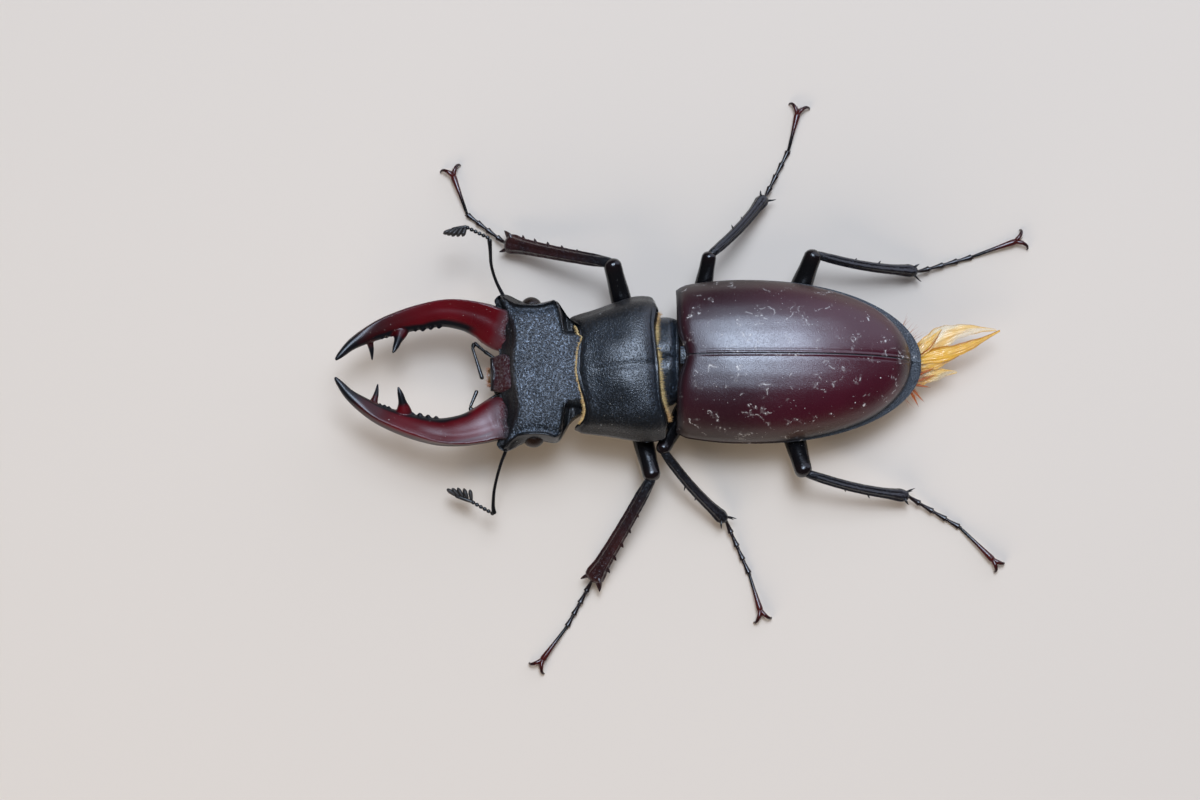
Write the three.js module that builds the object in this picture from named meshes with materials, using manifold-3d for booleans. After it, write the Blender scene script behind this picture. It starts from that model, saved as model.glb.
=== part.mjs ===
// A male stag beetle, life size, standing still on six feet. Millimetres, +Z up.
// The head points to -Y and the beetle's left side to +X. The group is moved at the end so that
// its origin lies on the floor, under the middle of the whole animal, legs and jaws included.

import * as THREE from "three";
import { mergeVertices } from "three/addons/utils/BufferGeometryUtils.js";
import Module from "manifold-3d";

const wasm = await Module();
wasm.setup();

// ---------------------------------------------------------------- driving dimensions

const GAP = 0.06; // free space between two pieces that meet
const FLOOR_SLAB = 40; // half the size of the block that trims the feet flat at Z = 0

const ELYTRA = { length: 27.3, half: 9.2, widest: 0.28, edge: 6.3, crown: 5.5, wall: 0.6, notch: 0.9 };
const TRUNK = { front: 0.25, split: 11.2, rear: 26.7, depth: 3.5, inset: 1.0 };
const PRONOTUM = { x: 1.25, y: -6.4, turn: 5.0, length: 9.2, edge: 6.6, lip: 1.1 };
const HEAD = { x: 1.5, y: -19.35, turn: 1.2, length: 8.3, side: 7.7 };
const JAWS = { x: 1.55, y: -19.35, turn: -1.3 };
const EYE = { side: 7.35, back: 3.1, z: 7.45, size: [1.15, 1.45, 1.2] };
const CHEEK = { side: 7.9, back: 0.35, z: 6.9, radius: 1.1, stretch: 1.25 };

// One row for each pair of legs: the hips (their middle, spread, place along the body and height), the length
// of each segment, then the half widths of thigh and shin and how far the shin bows outwards.
const LEGS = {
  front: {
    hips: { middle: 0.6, spread: 3.0, y: -4.8, z: 2.95 },
    ...{ femur: 9.75, tibia: 13.55, tarsus: 5.8, claw: 4.4, thigh: 1.05, shin: 0.95, bow: 0.1 },
  },
  mid: {
    hips: { middle: -0.8, spread: 3.3, y: 2.2, z: 2.6 },
    ...{ femur: 8.83, tibia: 11.1, tarsus: 6.4, claw: 4.35, thigh: 0.88, shin: 0.68, bow: 0.35 },
  },
  hind: {
    hips: { middle: -0.2, spread: 3.6, y: 12.0, z: 2.5 },
    ...{ femur: 9.75, tibia: 12.8, tarsus: 6.75, claw: 5.2, thigh: 1.05, shin: 0.74, bow: 0.4 },
  },
};
// One row for each leg: knee height, then the compass heading of each segment, in degrees from +X towards +Y.
const STANCE = {
  front_left: { knee: 5.4, femur: 13, tibia: 329, tarsus: 331, claw: 324 },
  front_right: { knee: 6.9, femur: 195, tibia: 254, tarsus: 231, claw: 205 },
  mid_left: { knee: 5.8, femur: 333, tibia: 44, tarsus: 24, claw: 16 },
  mid_right: { knee: 6.2, femur: 169, tibia: 140, tarsus: 154, claw: 166 },
  hind_left: { knee: 5.8, femur: 13, tibia: 80, tarsus: 60, claw: 44 },
  hind_right: { knee: 6.1, femur: 158, tibia: 85, tarsus: 107, claw: 109 },
};
const ANKLE_Z = 1.7;
const SOLE_Z = 0.31; // centre of the fourth toe joint, whose sole is trimmed flat
const CLAW_ROOT_Z = 0.75;

const COLOURS = {
  armour: { color: 0x15171a, roughness: 0.5 },
  jaw: { color: 0x4a0a10, roughness: 0.25 },
  wingcase: { color: 0x2e1018, roughness: 0.28 },
  leg: { color: 0x0f0e10, roughness: 0.3 },
  shin: { color: 0x24100f, roughness: 0.35 },
  feeler: { color: 0x1c1718, roughness: 0.45 },
  eye: { color: 0x1a1210, roughness: 0.15 },
  joint: { color: 0x2a2015, roughness: 0.7 },
  lip: { color: 0xb8701c, roughness: 0.8 },
  membrane: { color: 0xd39a2c, roughness: 0.35 },
};

// ---------------------------------------------------------------- small helpers

const { abs, cos, sin, sqrt, min, max, sign, PI } = Math;
const vec = (x, y, z) => new THREE.Vector3(x, y, z);
const mix = THREE.MathUtils.lerp;
const clamp01 = (t) => min(1, max(0, t));
const power = (v, n) => sign(v) * abs(v) ** n;

// A smooth line through [place, value] pairs: cubics with the slope of each key's two neighbours.
function curve(keys) {
  const last = keys.length - 1;
  const slope = (i) => {
    const [before, after] = [keys[max(i - 1, 0)], keys[min(i + 1, last)]];
    return (after[1] - before[1]) / (after[0] - before[0]);
  };
  return (place) => {
    const next = keys.findIndex((key) => key[0] > place);
    const i = next < 0 ? last - 1 : max(next - 1, 0);
    const [x0, y0] = keys[i];
    const [x1, y1] = keys[i + 1];
    const [width, t] = [x1 - x0, clamp01((place - x0) / (x1 - x0))];
    const start = (1 + 2 * t) * (1 - t) ** 2 * y0 + t * (1 - t) ** 2 * width * slope(i);
    return start + t * t * (3 - 2 * t) * y1 - t * t * (1 - t) * width * slope(i + 1);
  };
}

// The solid of a three.js geometry, with its seams merged and its faces turned outwards.
function solid(geometry) {
  const bare = new THREE.BufferGeometry();
  bare.setAttribute("position", geometry.getAttribute("position").clone());
  if (geometry.index) bare.setIndex(geometry.index.clone());
  const merged = mergeVertices(bare, 1e-4);
  const position = merged.getAttribute("position");
  const corners = merged.index.array;
  const faces = [];
  let volume = 0;
  const [a, b, c] = [vec(), vec(), vec()];
  for (let i = 0; i < corners.length; i += 3) {
    const [p, q, r] = corners.slice(i, i + 3);
    if (p === q || q === r || r === p) continue;
    faces.push([p, q, r]);
    a.fromBufferAttribute(position, p);
    volume += a.dot(b.fromBufferAttribute(position, q).cross(c.fromBufferAttribute(position, r)));
  }
  const outward = volume < 0 ? faces.map((f) => f.reverse()) : faces;
  return new wasm.Manifold(
    new wasm.Mesh({
      numProp: 3,
      vertProperties: new Float32Array(position.array),
      triVerts: new Uint32Array(outward.flat()),
    }),
  );
}

// A closed body: each row of a sphere's grid becomes one cross-section, and its poles close the ends.
// point(s, angle) gives the surface, with s from 0 at the first section to 1 at the last.
function body(rows, sides, point, frame) {
  const geometry = new THREE.SphereGeometry(1, sides, rows + 1);
  const uv = geometry.getAttribute("uv");
  const position = geometry.getAttribute("position");
  for (let i = 0; i < position.count; i++) {
    const row = Math.round((1 - uv.getY(i)) * (rows + 1));
    const s = clamp01((row - 1) / (rows - 1));
    const pole = row === 0 || row === rows + 1;
    const p = pole ? middle(point, s) : point(s, uv.getX(i) * 2 * PI);
    position.setXYZ(i, p.x, p.y, p.z);
  }
  if (frame) geometry.applyMatrix4(frame);
  return solid(geometry);
}

// The middle of one cross-section: the mean of four points round it.
function middle(point, s) {
  const ring = [0, 1, 2, 3].map((k) => point(s, (k * PI) / 2));
  return ring.reduce((sum, p) => sum.add(p), vec(0, 0, 0)).multiplyScalar(0.25);
}

// A curved plate: a box's grid whose upper face becomes outer(u, v) and whose lower face inner(u, v).
function plate(across, along, outer, inner, frame) {
  const geometry = new THREE.BoxGeometry(1, 1, 1, along, across, 1);
  const position = geometry.getAttribute("position");
  for (let i = 0; i < position.count; i++) {
    const [u, v] = [position.getX(i) + 0.5, position.getY(i) + 0.5];
    const p = position.getZ(i) > 0 ? outer(u, v) : inner(u, v);
    position.setXYZ(i, p.x, p.y, p.z);
  }
  if (frame) geometry.applyMatrix4(frame);
  return solid(geometry);
}

// A limb: an oval section carried along a line of joints. Each joint is [place, half width, half height],
// and grow thickens the whole limb, which makes the socket that it leaves in a neighbour.
function limb(joints, { sides = 10, grow = 0, frame, boxy = 2 } = {}) {
  const places = joints.map((j) => (j[0].isVector3 ? j[0] : vec(...j[0])));
  const up = vec(0, 0, 1);
  const ways = places.map((p, i) => {
    const before = places[max(i - 1, 0)];
    const after = places[min(i + 1, places.length - 1)];
    return after.clone().sub(before).normalize();
  });
  const point = (s, angle) => {
    const i = Math.round(s * (joints.length - 1));
    const end = i === 0 ? -grow : i === joints.length - 1 ? grow : 0;
    const side = ways[i].clone().cross(up).normalize();
    const lift = side.clone().cross(ways[i]);
    const [, wide, high] = joints[i];
    return places[i]
      .clone()
      .addScaledVector(side, (wide + grow) * power(cos(angle), 2 / boxy))
      .addScaledVector(lift, (high + grow) * power(sin(angle), 2 / boxy))
      .addScaledVector(ways[i], end);
  };
  return body(joints.length, sides, point, frame);
}

// A frame in the body: moved to (x, y) and turned about Z by so many degrees.
function frameAt({ x, y, turn }) {
  const matrix = new THREE.Matrix4().makeRotationZ(THREE.MathUtils.degToRad(turn));
  return matrix.setPosition(x, y, 0);
}

// A straight step of the given length at a compass heading, ending at height z.
function step(from, length, heading, z) {
  const drop = z - from.z;
  const run = sqrt(max(0, length ** 2 - drop ** 2));
  const angle = THREE.MathUtils.degToRad(heading);
  return vec(from.x + run * cos(angle), from.y + run * sin(angle), z);
}

const pronotumFrame = frameAt(PRONOTUM);
const headFrame = frameAt(HEAD);
const jawFrame = frameAt(JAWS);
const floor = solid(
  new THREE.BoxGeometry(4 * FLOOR_SLAB, 4 * FLOOR_SLAB, FLOOR_SLAB).translate(0, 0, -FLOOR_SLAB / 2),
);

// ---------------------------------------------------------------- wing cases, abdomen and chest

// Half the width of the closed wing cases at t, from 0 at the shoulders to 1 at the tail.
function caseHalf(t) {
  const { half, widest } = ELYTRA;
  const shoulder = 1 - 0.05 * clamp01(1 - t / 0.05) ** 2;
  if (t < widest) return half * shoulder * (1 - 0.09 * (1 - t / widest) ** 2);
  return half * sqrt(max(0, 1 - ((t - widest) / (1 - widest)) ** 2.2));
}

// How far the crown of the wing cases stands above their side edge.
function caseCrown(t) {
  const top = 0.36;
  const roll = 0.86 + 0.14 * sqrt(1 - clamp01(1 - t / 0.06) ** 2);
  if (t < top) return ELYTRA.crown * roll * (1 - 0.16 * (1 - t / top) ** 2);
  return ELYTRA.crown * sqrt(max(0, 1 - ((t - top) / (1 - top)) ** 2.5));
}

const caseEdge = (t) => ELYTRA.edge - 0.9 * t * t;

// A point on a wing case, thinned by wall: v runs from the seam at the middle to the side edge.
function casePoint(side, t, v, wall) {
  const angle = (v * PI) / 2;
  const wide = max(0, caseHalf(t) - wall) * power(sin(angle), 0.88);
  const high = max(0, caseCrown(t) - wall) * power(cos(angle), 0.88);
  const notch = ELYTRA.notch * Math.exp(-((wide / 2) ** 2)) * (1 - t) ** 8;
  return vec(side * (GAP / 2 + wide), notch + t * ELYTRA.length - wall * t * t, caseEdge(t) + high);
}

// The small shield between the bases of the wing cases.
const scutellum = (grow) =>
  body(4, 10, (s, angle) => {
    const wide = (1.0 * cos(s * 1.4) ** 0.8 + grow) * cos(angle);
    const high = (0.45 * (1 - 0.5 * s) + grow) * sin(angle);
    return vec(wide, 0.45 + 1.75 * s + (s > 0.99 ? grow : 0), 9.95 + 0.5 * s + high);
  });

function wingCase(side) {
  const rows = (u) => 1 - (1 - u) ** 1.5; // closer rows towards the tail
  const outer = (u, v) => casePoint(side, rows(u) * 0.997, v, 0);
  const inner = (u, v) => casePoint(side, rows(u) * 0.997, v, ELYTRA.wall);
  return plate(7, 12, outer, inner).subtract(scutellum(GAP));
}

// The chest and the abdomen share one trunk, a tub under the wing cases with a roof just inside them.
function trunkPoint(y, angle, grow) {
  const t = min(clamp01((y + 0.7) / ELYTRA.length), 0.99);
  const neck = sqrt(1 - (1 - clamp01(y / 2)) ** 2);
  const wide = max(0.4, caseHalf(t) - TRUNK.inset) * mix(0.7, 1, neck) + grow;
  const roof = max(0.05, caseCrown(t) - ELYTRA.wall - 0.4) * mix(0.85, 0.92, neck);
  const high = (sin(angle) > 0 ? roof : TRUNK.depth * trunkDepth(t)) + grow;
  return vec(wide * power(cos(angle), 0.88), y, caseEdge(t) - 0.15 + high * power(sin(angle), 0.88));
}

const trunkDepth = curve([[0, 0.98], [0.3, 1.12], [0.55, 1.06], [0.8, 0.86], [0.94, 0.56], [0.98, 0.3]]);

// Five belly rings, each a shallow step inside the one before it.
function abdomen(grow = 0) {
  const [rings, rise] = [5, 0.16];
  const point = (s, angle) => {
    const along = (s * rings + 1e-6) % 1;
    const p = trunkPoint(mix(TRUNK.split + GAP, TRUNK.rear, s), angle, grow);
    return vec(p.x, p.y, p.z + rise * along * clamp01(-2 * sin(angle)));
  };
  return body(11, 12, point);
}

const chest = (grow = 0) =>
  body(6, 12, (s, angle) => trunkPoint(mix(TRUNK.front, TRUNK.split, s), angle, grow));

// The narrow waist that carries the scutellum, between the pronotum and the wing cases.
const waist = (grow) =>
  body(3, 12, (s, angle) => {
    const bulge = 1 - 0.1 * (2 * s - 1) ** 2;
    const wide = (5.0 * bulge + grow) * power(cos(angle), 0.8);
    const high = (sin(angle) > 0 ? 3.4 : 3.3) * bulge + grow;
    return vec(0.35 * (1 - s) + wide, mix(-3.2, TRUNK.front - GAP, s), 6.5 + high * power(sin(angle), 0.8));
  });

// ---------------------------------------------------------------- pronotum and underside of the neck

// Half width of the pronotum, and the height of its crown, from its front edge to its hind edge.
const pronotumHalf = curve([
  [0, 6.1], [0.08, 6.5], [0.3, 7.0], [0.55, 7.65],
  [0.76, 8.1], [0.9, 7.85], [1, 6.9],
]);
const pronotumCrown = curve([[0, 3.3], [0.12, 3.9], [0.5, 4.7], [0.82, 4.6], [0.95, 4.1], [1, 3.5]]);

// The front edge of the pronotum juts at its middle and more at its corners.
function pronotumEdge(share) {
  return -0.45 * max(0, 1 - (share / 0.45) ** 2) - 1.15 * clamp01((share - 0.45) / 0.55) ** 1.6;
}

function pronotum() {
  const { length, edge, lip } = PRONOTUM;
  const point = (s, angle) => {
    const wide = pronotumHalf(s) * power(cos(angle), 0.84);
    const high = sin(angle) > 0 ? pronotumCrown(s) : lip;
    const lead = pronotumEdge(abs(wide) / pronotumHalf(s)) * (1 - s) ** 2;
    return vec(wide, (s - 0.5) * length + lead, edge + high * power(sin(angle), 0.84));
  };
  const shape = body(8, 18, point, pronotumFrame);
  return [neck(GAP), waist(GAP), headShape(GAP)].reduce((rest, piece) => rest.subtract(piece), shape);
}

// The plate under the pronotum that holds the two front hips.
function prosternum(grow = 0) {
  const { edge, lip } = PRONOTUM;
  const [top, rim, depth] = [edge - lip - GAP, 0.25, 2.7];
  const point = (s, angle) => {
    const wide = (6.4 - 1.2 * (2 * s - 1) ** 2 + grow) * power(cos(angle), 0.7);
    const deep = sin(angle) > 0 ? rim : depth * sqrt(1 - (1.6 * (s - 0.5)) ** 2) + grow;
    return vec(wide, mix(-4.0, 3.4, s), top - rim + deep * power(sin(angle), 0.8));
  };
  return body(4, 12, point, pronotumFrame).subtract(neck(GAP)).subtract(waist(GAP));
}

const neck = (grow) =>
  body(2, 12, (s, angle) => {
    const wide = (4.3 + grow) * power(cos(angle), 0.85);
    const high = ((sin(angle) > 0 ? 2.3 : 2.6) + grow) * power(sin(angle), 0.85);
    return vec(1.5 + wide, mix(-12.6, -9.4, s) + (s > 0.99 ? grow : s < 0.01 ? -grow : 0), 7.0 + high);
  });

// ---------------------------------------------------------------- head

// Half width, roof height and throat height of the head, from its front edge to its hind edge.
const headHalf = curve([
  [0, 7.2], [0.1, 8.45], [0.2, 8.05], [0.37, 7.45], [0.55, 7.6],
  [0.7, 7.85], [0.8, 7.2], [0.9, 5.7], [1, 4.9],
]);
const headTop = curve([
  [0, 7.9], [0.08, 8.7], [0.17, 10.1], [0.24, 10.35], [0.45, 10.25],
  [0.68, 10.75], [0.8, 10.6], [0.9, 9.9], [1, 9.1],
]);
const headBase = curve([[0, 5.3], [0.12, 4.5], [0.5, 3.9], [0.85, 4.1], [1, 4.6]]);

// The plain head: a flat square-edged roof over a rounded throat. Grown, it is the socket in the pronotum.
function headShape(grow) {
  const point = (s, angle) => {
    const roof = sin(angle) > 0;
    const high = (roof ? headTop(s) - HEAD.side : HEAD.side - headBase(s)) + grow;
    const square = roof ? 0.5 : 0.8;
    const wide = (headHalf(s) + grow) * power(cos(angle), roof ? 0.62 : 0.8);
    const notch = 0.9 * (wide / 8) ** 2 * (1 - s) ** 3;
    const reach = s * HEAD.length + notch + (s > 0.99 ? grow : 0);
    return vec(wide, reach, HEAD.side + high * power(sin(angle), square));
  };
  return body(12, 18, point, headFrame);
}

// The lump at each front corner of the head, which holds the jaw's hinge and the root of the feeler.
function cheek(side) {
  const ball = new THREE.SphereGeometry(CHEEK.radius, 6, 4).scale(1, 1, CHEEK.stretch);
  return solid(ball.translate(side * CHEEK.side, CHEEK.back, CHEEK.z).applyMatrix4(headFrame));
}

function head() {
  const shape = headShape(0).add(cheek(1)).add(cheek(-1)).subtract(neck(GAP));
  const jaws = [-1, 1].map((side) => jawBlade(side, GAP));
  return [...jaws, labrum(GAP)].reduce((rest, piece) => rest.subtract(piece), shape);
}

// The part of the eyeball that stands out of the head.
function eye(side) {
  const ball = new THREE.SphereGeometry(1, 10, 6).scale(...EYE.size);
  ball.translate(side * EYE.side, EYE.back, EYE.z).applyMatrix4(headFrame);
  return solid(ball).subtract(head());
}

// The clypeus and upper lip: a wedge that slopes down between the jaws.
function labrum(grow = 0) {
  const point = (s, angle) => {
    const wide = (mix(1.7, 2.5, s) + grow) * power(cos(angle), 0.6);
    const high = (mix(0.35, 0.8, s) + grow) * power(sin(angle), 0.7);
    return vec(0.1 + wide, mix(-1.7, 0.5, s) + (s > 0.99 ? grow : 0), mix(7.0, 8.0, s) + high);
  };
  return body(3, 10, point, headFrame);
}

// ---------------------------------------------------------------- jaws

// Each key of a jaw: how far forward, how far from the middle, height, half width and half height.
const JAW = [
  [-0.7, 5.0, 6.9, 2.1, 1.45],
  [0.6, 5.3, 7.1, 2.4, 1.7],
  [2.2, 5.9, 7.25, 2.05, 1.75],
  [4.2, 6.5, 7.3, 1.72, 1.6],
  [6.6, 6.72, 7.2, 1.48, 1.45],
  [9.2, 6.3, 7.0, 1.42, 1.35],
  [11.4, 5.7, 6.95, 1.3, 1.2],
  [13.4, 4.92, 7.05, 1.15, 1.05],
  [15.2, 3.9, 7.3, 0.95, 0.9],
  [16.7, 2.85, 7.6, 0.65, 0.68],
  [17.8, 1.6, 7.95, 0.38, 0.42],
  [18.3, 0.95, 8.15, 0.15, 0.15],
];
const jawPlace = (side, forward, out, z) => vec(side * out, -forward, z);
const jawKeys = [1, 2, 3, 4].map((k) => curve(JAW.map((row) => [row[0], row[k]])));

// The limb joints of a jaw, closer together towards its tip.
function jawJoints(side, count) {
  const [from, to] = [JAW[0][0], JAW.at(-1)[0]];
  return Array.from({ length: count }, (_, i) => {
    const forward = mix(from, to, 1 - (1 - i / (count - 1)) ** 1.3);
    const [out, z, wide, high] = jawKeys.map((key) => key(forward));
    return [jawPlace(side, forward, out, z), wide, high];
  });
}

const jawBlade = (side, grow = 0) =>
  limb(jawJoints(side, 12), { sides: 8, grow, frame: jawFrame, boxy: 2.4 });

// A pointed tooth from one place to another, bent by a lift at its middle.
function tooth(from, to, radius, frame, sides = 8) {
  const rows = radius > 0.5 ? [0, 0.6, 1] : [0, 1];
  const joints = rows.map((t) => {
    const width = radius * (1 - t) ** 0.75 + 0.05;
    return [from.clone().lerp(to, t), width, width];
  });
  return limb(joints, { sides, frame });
}

function jaw(side) {
  const place = (forward, out, z) => jawPlace(side, forward, out, z);
  const teeth = [
    tooth(place(10.7, 5.0, 7.2), place(11.6, 1.85, 8.2), 0.95, jawFrame, 8),
    tooth(place(14.2, 3.9, 7.0), place(14.1, 1.35, 6.6), 0.62, jawFrame, 6),
  ];
  const denticles = [7.2, 8.1, 9.0, 12.3, 13.1];
  for (const forward of denticles) {
    const [out, z, wide] = jawKeys.map((key) => key(forward));
    const root = out - wide + 0.3; // set a little way into the blade
    const tip = place(forward + 0.1, root - 0.75, z + 0.1);
    teeth.push(tooth(place(forward, root, z), tip, 0.3, jawFrame, 4));
  }
  return teeth.reduce((whole, part) => whole.add(part), jawBlade(side));
}

// ---------------------------------------------------------------- feelers and palps

const FEELER = 0.27; // half the thickness of a feeler
// Each feeler: the line of its long first joint, then heading, length and drop of the beads and of the club.
const FEELERS = {
  left: {
    scape: [[8.3, 0.5, 7.1], [10.2, -0.3, 6.4], [12.6, -1.0, 5.4], [14.4, -1.2, 4.6], [15.3, -1.1, 4.2]],
    beads: { heading: 238, length: 2.5, drop: -0.6 },
    club: { heading: 248, length: 2.5, drop: -0.3, spread: 1 },
  },
  right: {
    scape: [[-8.6, 0.4, 7.4], [-10.4, -0.45, 8], [-12, -0.88, 8.6], [-13.6, -0.95, 9], [-14.8, -1, 9.3]],
    beads: { heading: 241, length: 2.5, drop: -0.3 },
    club: { heading: 278, length: 2.1, drop: -0.3, spread: -1 },
  },
};

function scape(side) {
  const route = new THREE.CatmullRomCurve3(FEELERS[side].scape.map((p) => vec(...p)));
  const joints = Array.from({ length: 8 }, (_, i) => {
    const swell = FEELER * (1 + 0.55 * (i / 7) ** 4);
    return [route.getPoint(i / 7), swell, swell];
  });
  return limb(joints, { sides: 6, frame: headFrame }).subtract(head());
}

// A step along a heading in degrees, with a drop in height.
function ahead(from, { heading, length, drop }, share = 1) {
  const angle = THREE.MathUtils.degToRad(heading);
  return from.clone().add(vec(length * cos(angle), length * sin(angle), drop).multiplyScalar(share));
}

// The beads after the elbow, then four thin plates side by side.
function club(side) {
  const { scape: line, beads, club: fan } = FEELERS[side];
  const elbow = ahead(vec(...line.at(-1)), beads, 0.2);
  const wrist = ahead(elbow, beads);
  const joints = Array.from({ length: 7 }, (_, i) => {
    const width = FEELER * (i % 2 ? 1.12 : 0.9);
    return [ahead(elbow, beads, i / 6), width, width];
  });
  const plates = [0, 1, 2, 3].map((k) => {
    const root = ahead(wrist, fan, 0.24 * k - 0.05);
    const tip = ahead(root, { ...fan, heading: fan.heading - fan.spread * (62 - 14 * k) }, 0.62);
    const belly = root.clone().lerp(tip, 0.6);
    return limb([[root, 0.2, 0.26], [belly, 0.23, 0.5], [tip, 0.14, 0.3]], { sides: 4, frame: headFrame });
  });
  const stem = limb([...joints, [ahead(wrist, fan, 0.75), FEELER, FEELER]], { sides: 5, frame: headFrame });
  return plates.reduce((whole, leaf) => whole.add(leaf), stem).subtract(scape(side));
}

// A jointed palp from the mouth, folded back towards the middle.
const PALPS = {
  left: [[1.9, -0.3, 5.3], [3.0, -2.0, 5.1], [3.85, -3.45, 5.0], [3.3, -3.55, 5.0], [1.5, -2.8, 4.8]],
  right: [[-1.7, -0.3, 5.3], [-2.9, -1.9, 5.1], [-3.9, -3.0, 5.0], [-3.3, -3.2, 5.0], [0.1, -2.2, 4.8]],
};
function palp(side) {
  const widths = [0.3, 0.26, 0.3, 0.26, 0.3];
  const joints = PALPS[side].map((place, i) => [place, widths[i], widths[i]]);
  return limb(joints, { sides: 6, frame: headFrame }).subtract(lip(GAP)).subtract(head());
}

// The lower lip and its brush, under the mouth.
function lip(grow = 0) {
  const point = (s, angle) => {
    const wide = (mix(0.7, 1.5, s) + grow) * cos(angle);
    return vec(wide, mix(-1.9, -0.15, s) - (s < 0.01 ? grow : 0), 5.5 + (0.4 + grow) * sin(angle));
  };
  return body(3, 8, point, headFrame);
}

// ---------------------------------------------------------------- legs

const legNames = Object.keys(STANCE);
const pairOf = (name) => name.split("_")[0];
const sideOf = (name) => (name.endsWith("left") ? 1 : -1);

// The joints of a leg: hip, knee, ankle, fourth toe joint and claw root.
function legPlaces(name) {
  const size = LEGS[pairOf(name)];
  const turn = STANCE[name];
  const { middle: centre, spread, y, z } = size.hips;
  const hip = vec(centre + sideOf(name) * spread, y, z);
  const knee = step(hip, size.femur, turn.femur, turn.knee);
  const ankle = step(knee, size.tibia, turn.tibia, ANKLE_Z);
  const toe = step(ankle, size.tarsus, turn.tarsus, SOLE_Z);
  const root = step(toe, size.claw, turn.claw, CLAW_ROOT_Z);
  return { hip, knee, ankle, toe, root };
}

// The hip: a short barrel that lies across the body and reaches into it.
function coxa(name, grow = 0) {
  const { hip } = legPlaces(name);
  const side = sideOf(name);
  const { thigh } = LEGS[pairOf(name)];
  const reach = [[-1.5, 0.7], [-0.7, 1.2], [0.7, 1.2], [1.4, 0.7]].map(([along, share]) => {
    const width = thigh * share;
    return [vec(hip.x + side * along, hip.y + 0.3 * along, hip.z), width, width * 0.85];
  });
  return limb(reach, { sides: 6, grow });
}

// The thigh: thick in the middle, with a round knee.
function femur(name, grow = 0) {
  const { hip, knee } = legPlaces(name);
  const { thigh } = LEGS[pairOf(name)];
  const shape = [[0, 0.7], [0.15, 0.92], [0.45, 1], [0.75, 0.98], [0.93, 0.88], [1.01, 0.5]];
  const joints = shape.map(([t, share]) => [hip.clone().lerp(knee, t), thigh * share, thigh * share * 0.86]);
  return limb(joints, { sides: 8, grow });
}

// The shin: narrow at the knee, widest at the ankle, with teeth along its outer edge and spurs at its end.
function tibia(name, grow = 0) {
  const { knee, ankle } = legPlaces(name);
  const { shin, bow } = LEGS[pairOf(name)];
  const way = ankle.clone().sub(knee).normalize();
  const out = outward(name, way);
  const start = knee.clone().addScaledVector(way, -0.15);
  const at = (t) => start.clone().lerp(ankle, t).addScaledVector(out, bow * sin(PI * t));
  const shape = [[0, 0.5], [0.08, 0.64], [0.35, 0.8], [0.65, 0.92], [0.93, 1.08], [1, 0.7]];
  const joints = shape.map(([t, share]) => [at(t), shin * share, shin * min(share, 0.9) * 0.8]);
  const shaft = limb(joints, { sides: 6, grow });
  if (grow) return shaft;
  const front = pairOf(name) === "front";
  const spots = front ? [0.36, 0.5, 0.63, 0.76, 0.87] : [0.4, 0.66];
  const spines = spots.map((t) => spine(at(t), out, way, shin * (0.6 + 0.3 * t), front ? 0.5 : 0.4));
  spines.push(spine(at(0.96), out, way, shin * 0.8, front ? 1.25 : 0.95));
  spines.push(spine(at(0.96), out.clone().negate(), way, shin * 0.8, 0.95));
  return spines.reduce((whole, part) => whole.add(part), shaft);
}

// The side of a shin that its teeth are on: away from the body.
function outward(name, way) {
  const across = way.clone().cross(vec(0, 0, 1)).normalize();
  const facing = { front: -1, mid: 1, hind: 1 }[pairOf(name)];
  return across.multiplyScalar(facing * sideOf(name));
}

// One spine: it starts inside the shin and leans towards the foot.
function spine(place, out, way, depth, length) {
  const from = place.clone().addScaledVector(out, depth * 0.5);
  const tip = place.clone().addScaledVector(out, depth + length * 0.75).addScaledVector(way, length * 0.7);
  return tooth(from, tip, 0.3, undefined, 3);
}

// The foot: four short joints, the long claw joint and two hooked claws, trimmed flat on the floor.
function tarsus(name) {
  const { ankle, toe, root } = legPlaces(name);
  const [flatten, beads] = [0.45, 4];
  const joints = [];
  const start = ankle.clone().lerp(toe, 0.04);
  for (let i = 0; i < beads; i++) {
    // each short joint is narrow at its root and swells to its end
    for (const [part, width] of [[0.12, 0.26], [0.88, 0.38]]) {
      const t = (i + part) / beads;
      const place = start.clone().lerp(toe, t);
      place.z = mix(start.z, toe.z, t ** flatten);
      joints.push([place, width, width * 0.95]);
    }
  }
  const arch = 0.35;
  for (const [t, width] of [[0.06, 0.25], [0.6, 0.26], [0.95, 0.38]]) {
    const place = toe.clone().lerp(root, t);
    place.z += arch * sin(PI * clamp01(t));
    joints.push([place, width, width]);
  }
  const heading = THREE.MathUtils.degToRad(STANCE[name].claw);
  const claws = [-1, 1].map((side) => claw(root, heading, side));
  return claws.reduce((whole, part) => whole.add(part), limb(joints, { sides: 5 })).subtract(floor);
}

// The joints of a claw: forward, outward and upward from its root, and half width.
const CLAW = [
  [-0.2, 0, 0, 0.26],
  [0.45, 0.25, 0.12, 0.25],
  [1.0, 0.85, -0.1, 0.24],
  [1.1, 1.45, -0.75, 0.22],
];

// A claw splays from the foot, arches over and comes down to the floor.
function claw(root, heading, side) {
  const joints = CLAW.map(([forward, out, height, width]) => {
    const x = root.x + forward * cos(heading) - side * out * sin(heading);
    const y = root.y + forward * sin(heading) + side * out * cos(heading);
    return [vec(x, y, root.z + height), width, width];
  });
  return limb(joints, { sides: 4 });
}

// ---------------------------------------------------------------- folded wing tips

const leafHalf = curve([[0, 0.72], [0.25, 1], [0.5, 0.8], [0.8, 0.32], [1, 0.1]]);

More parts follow.
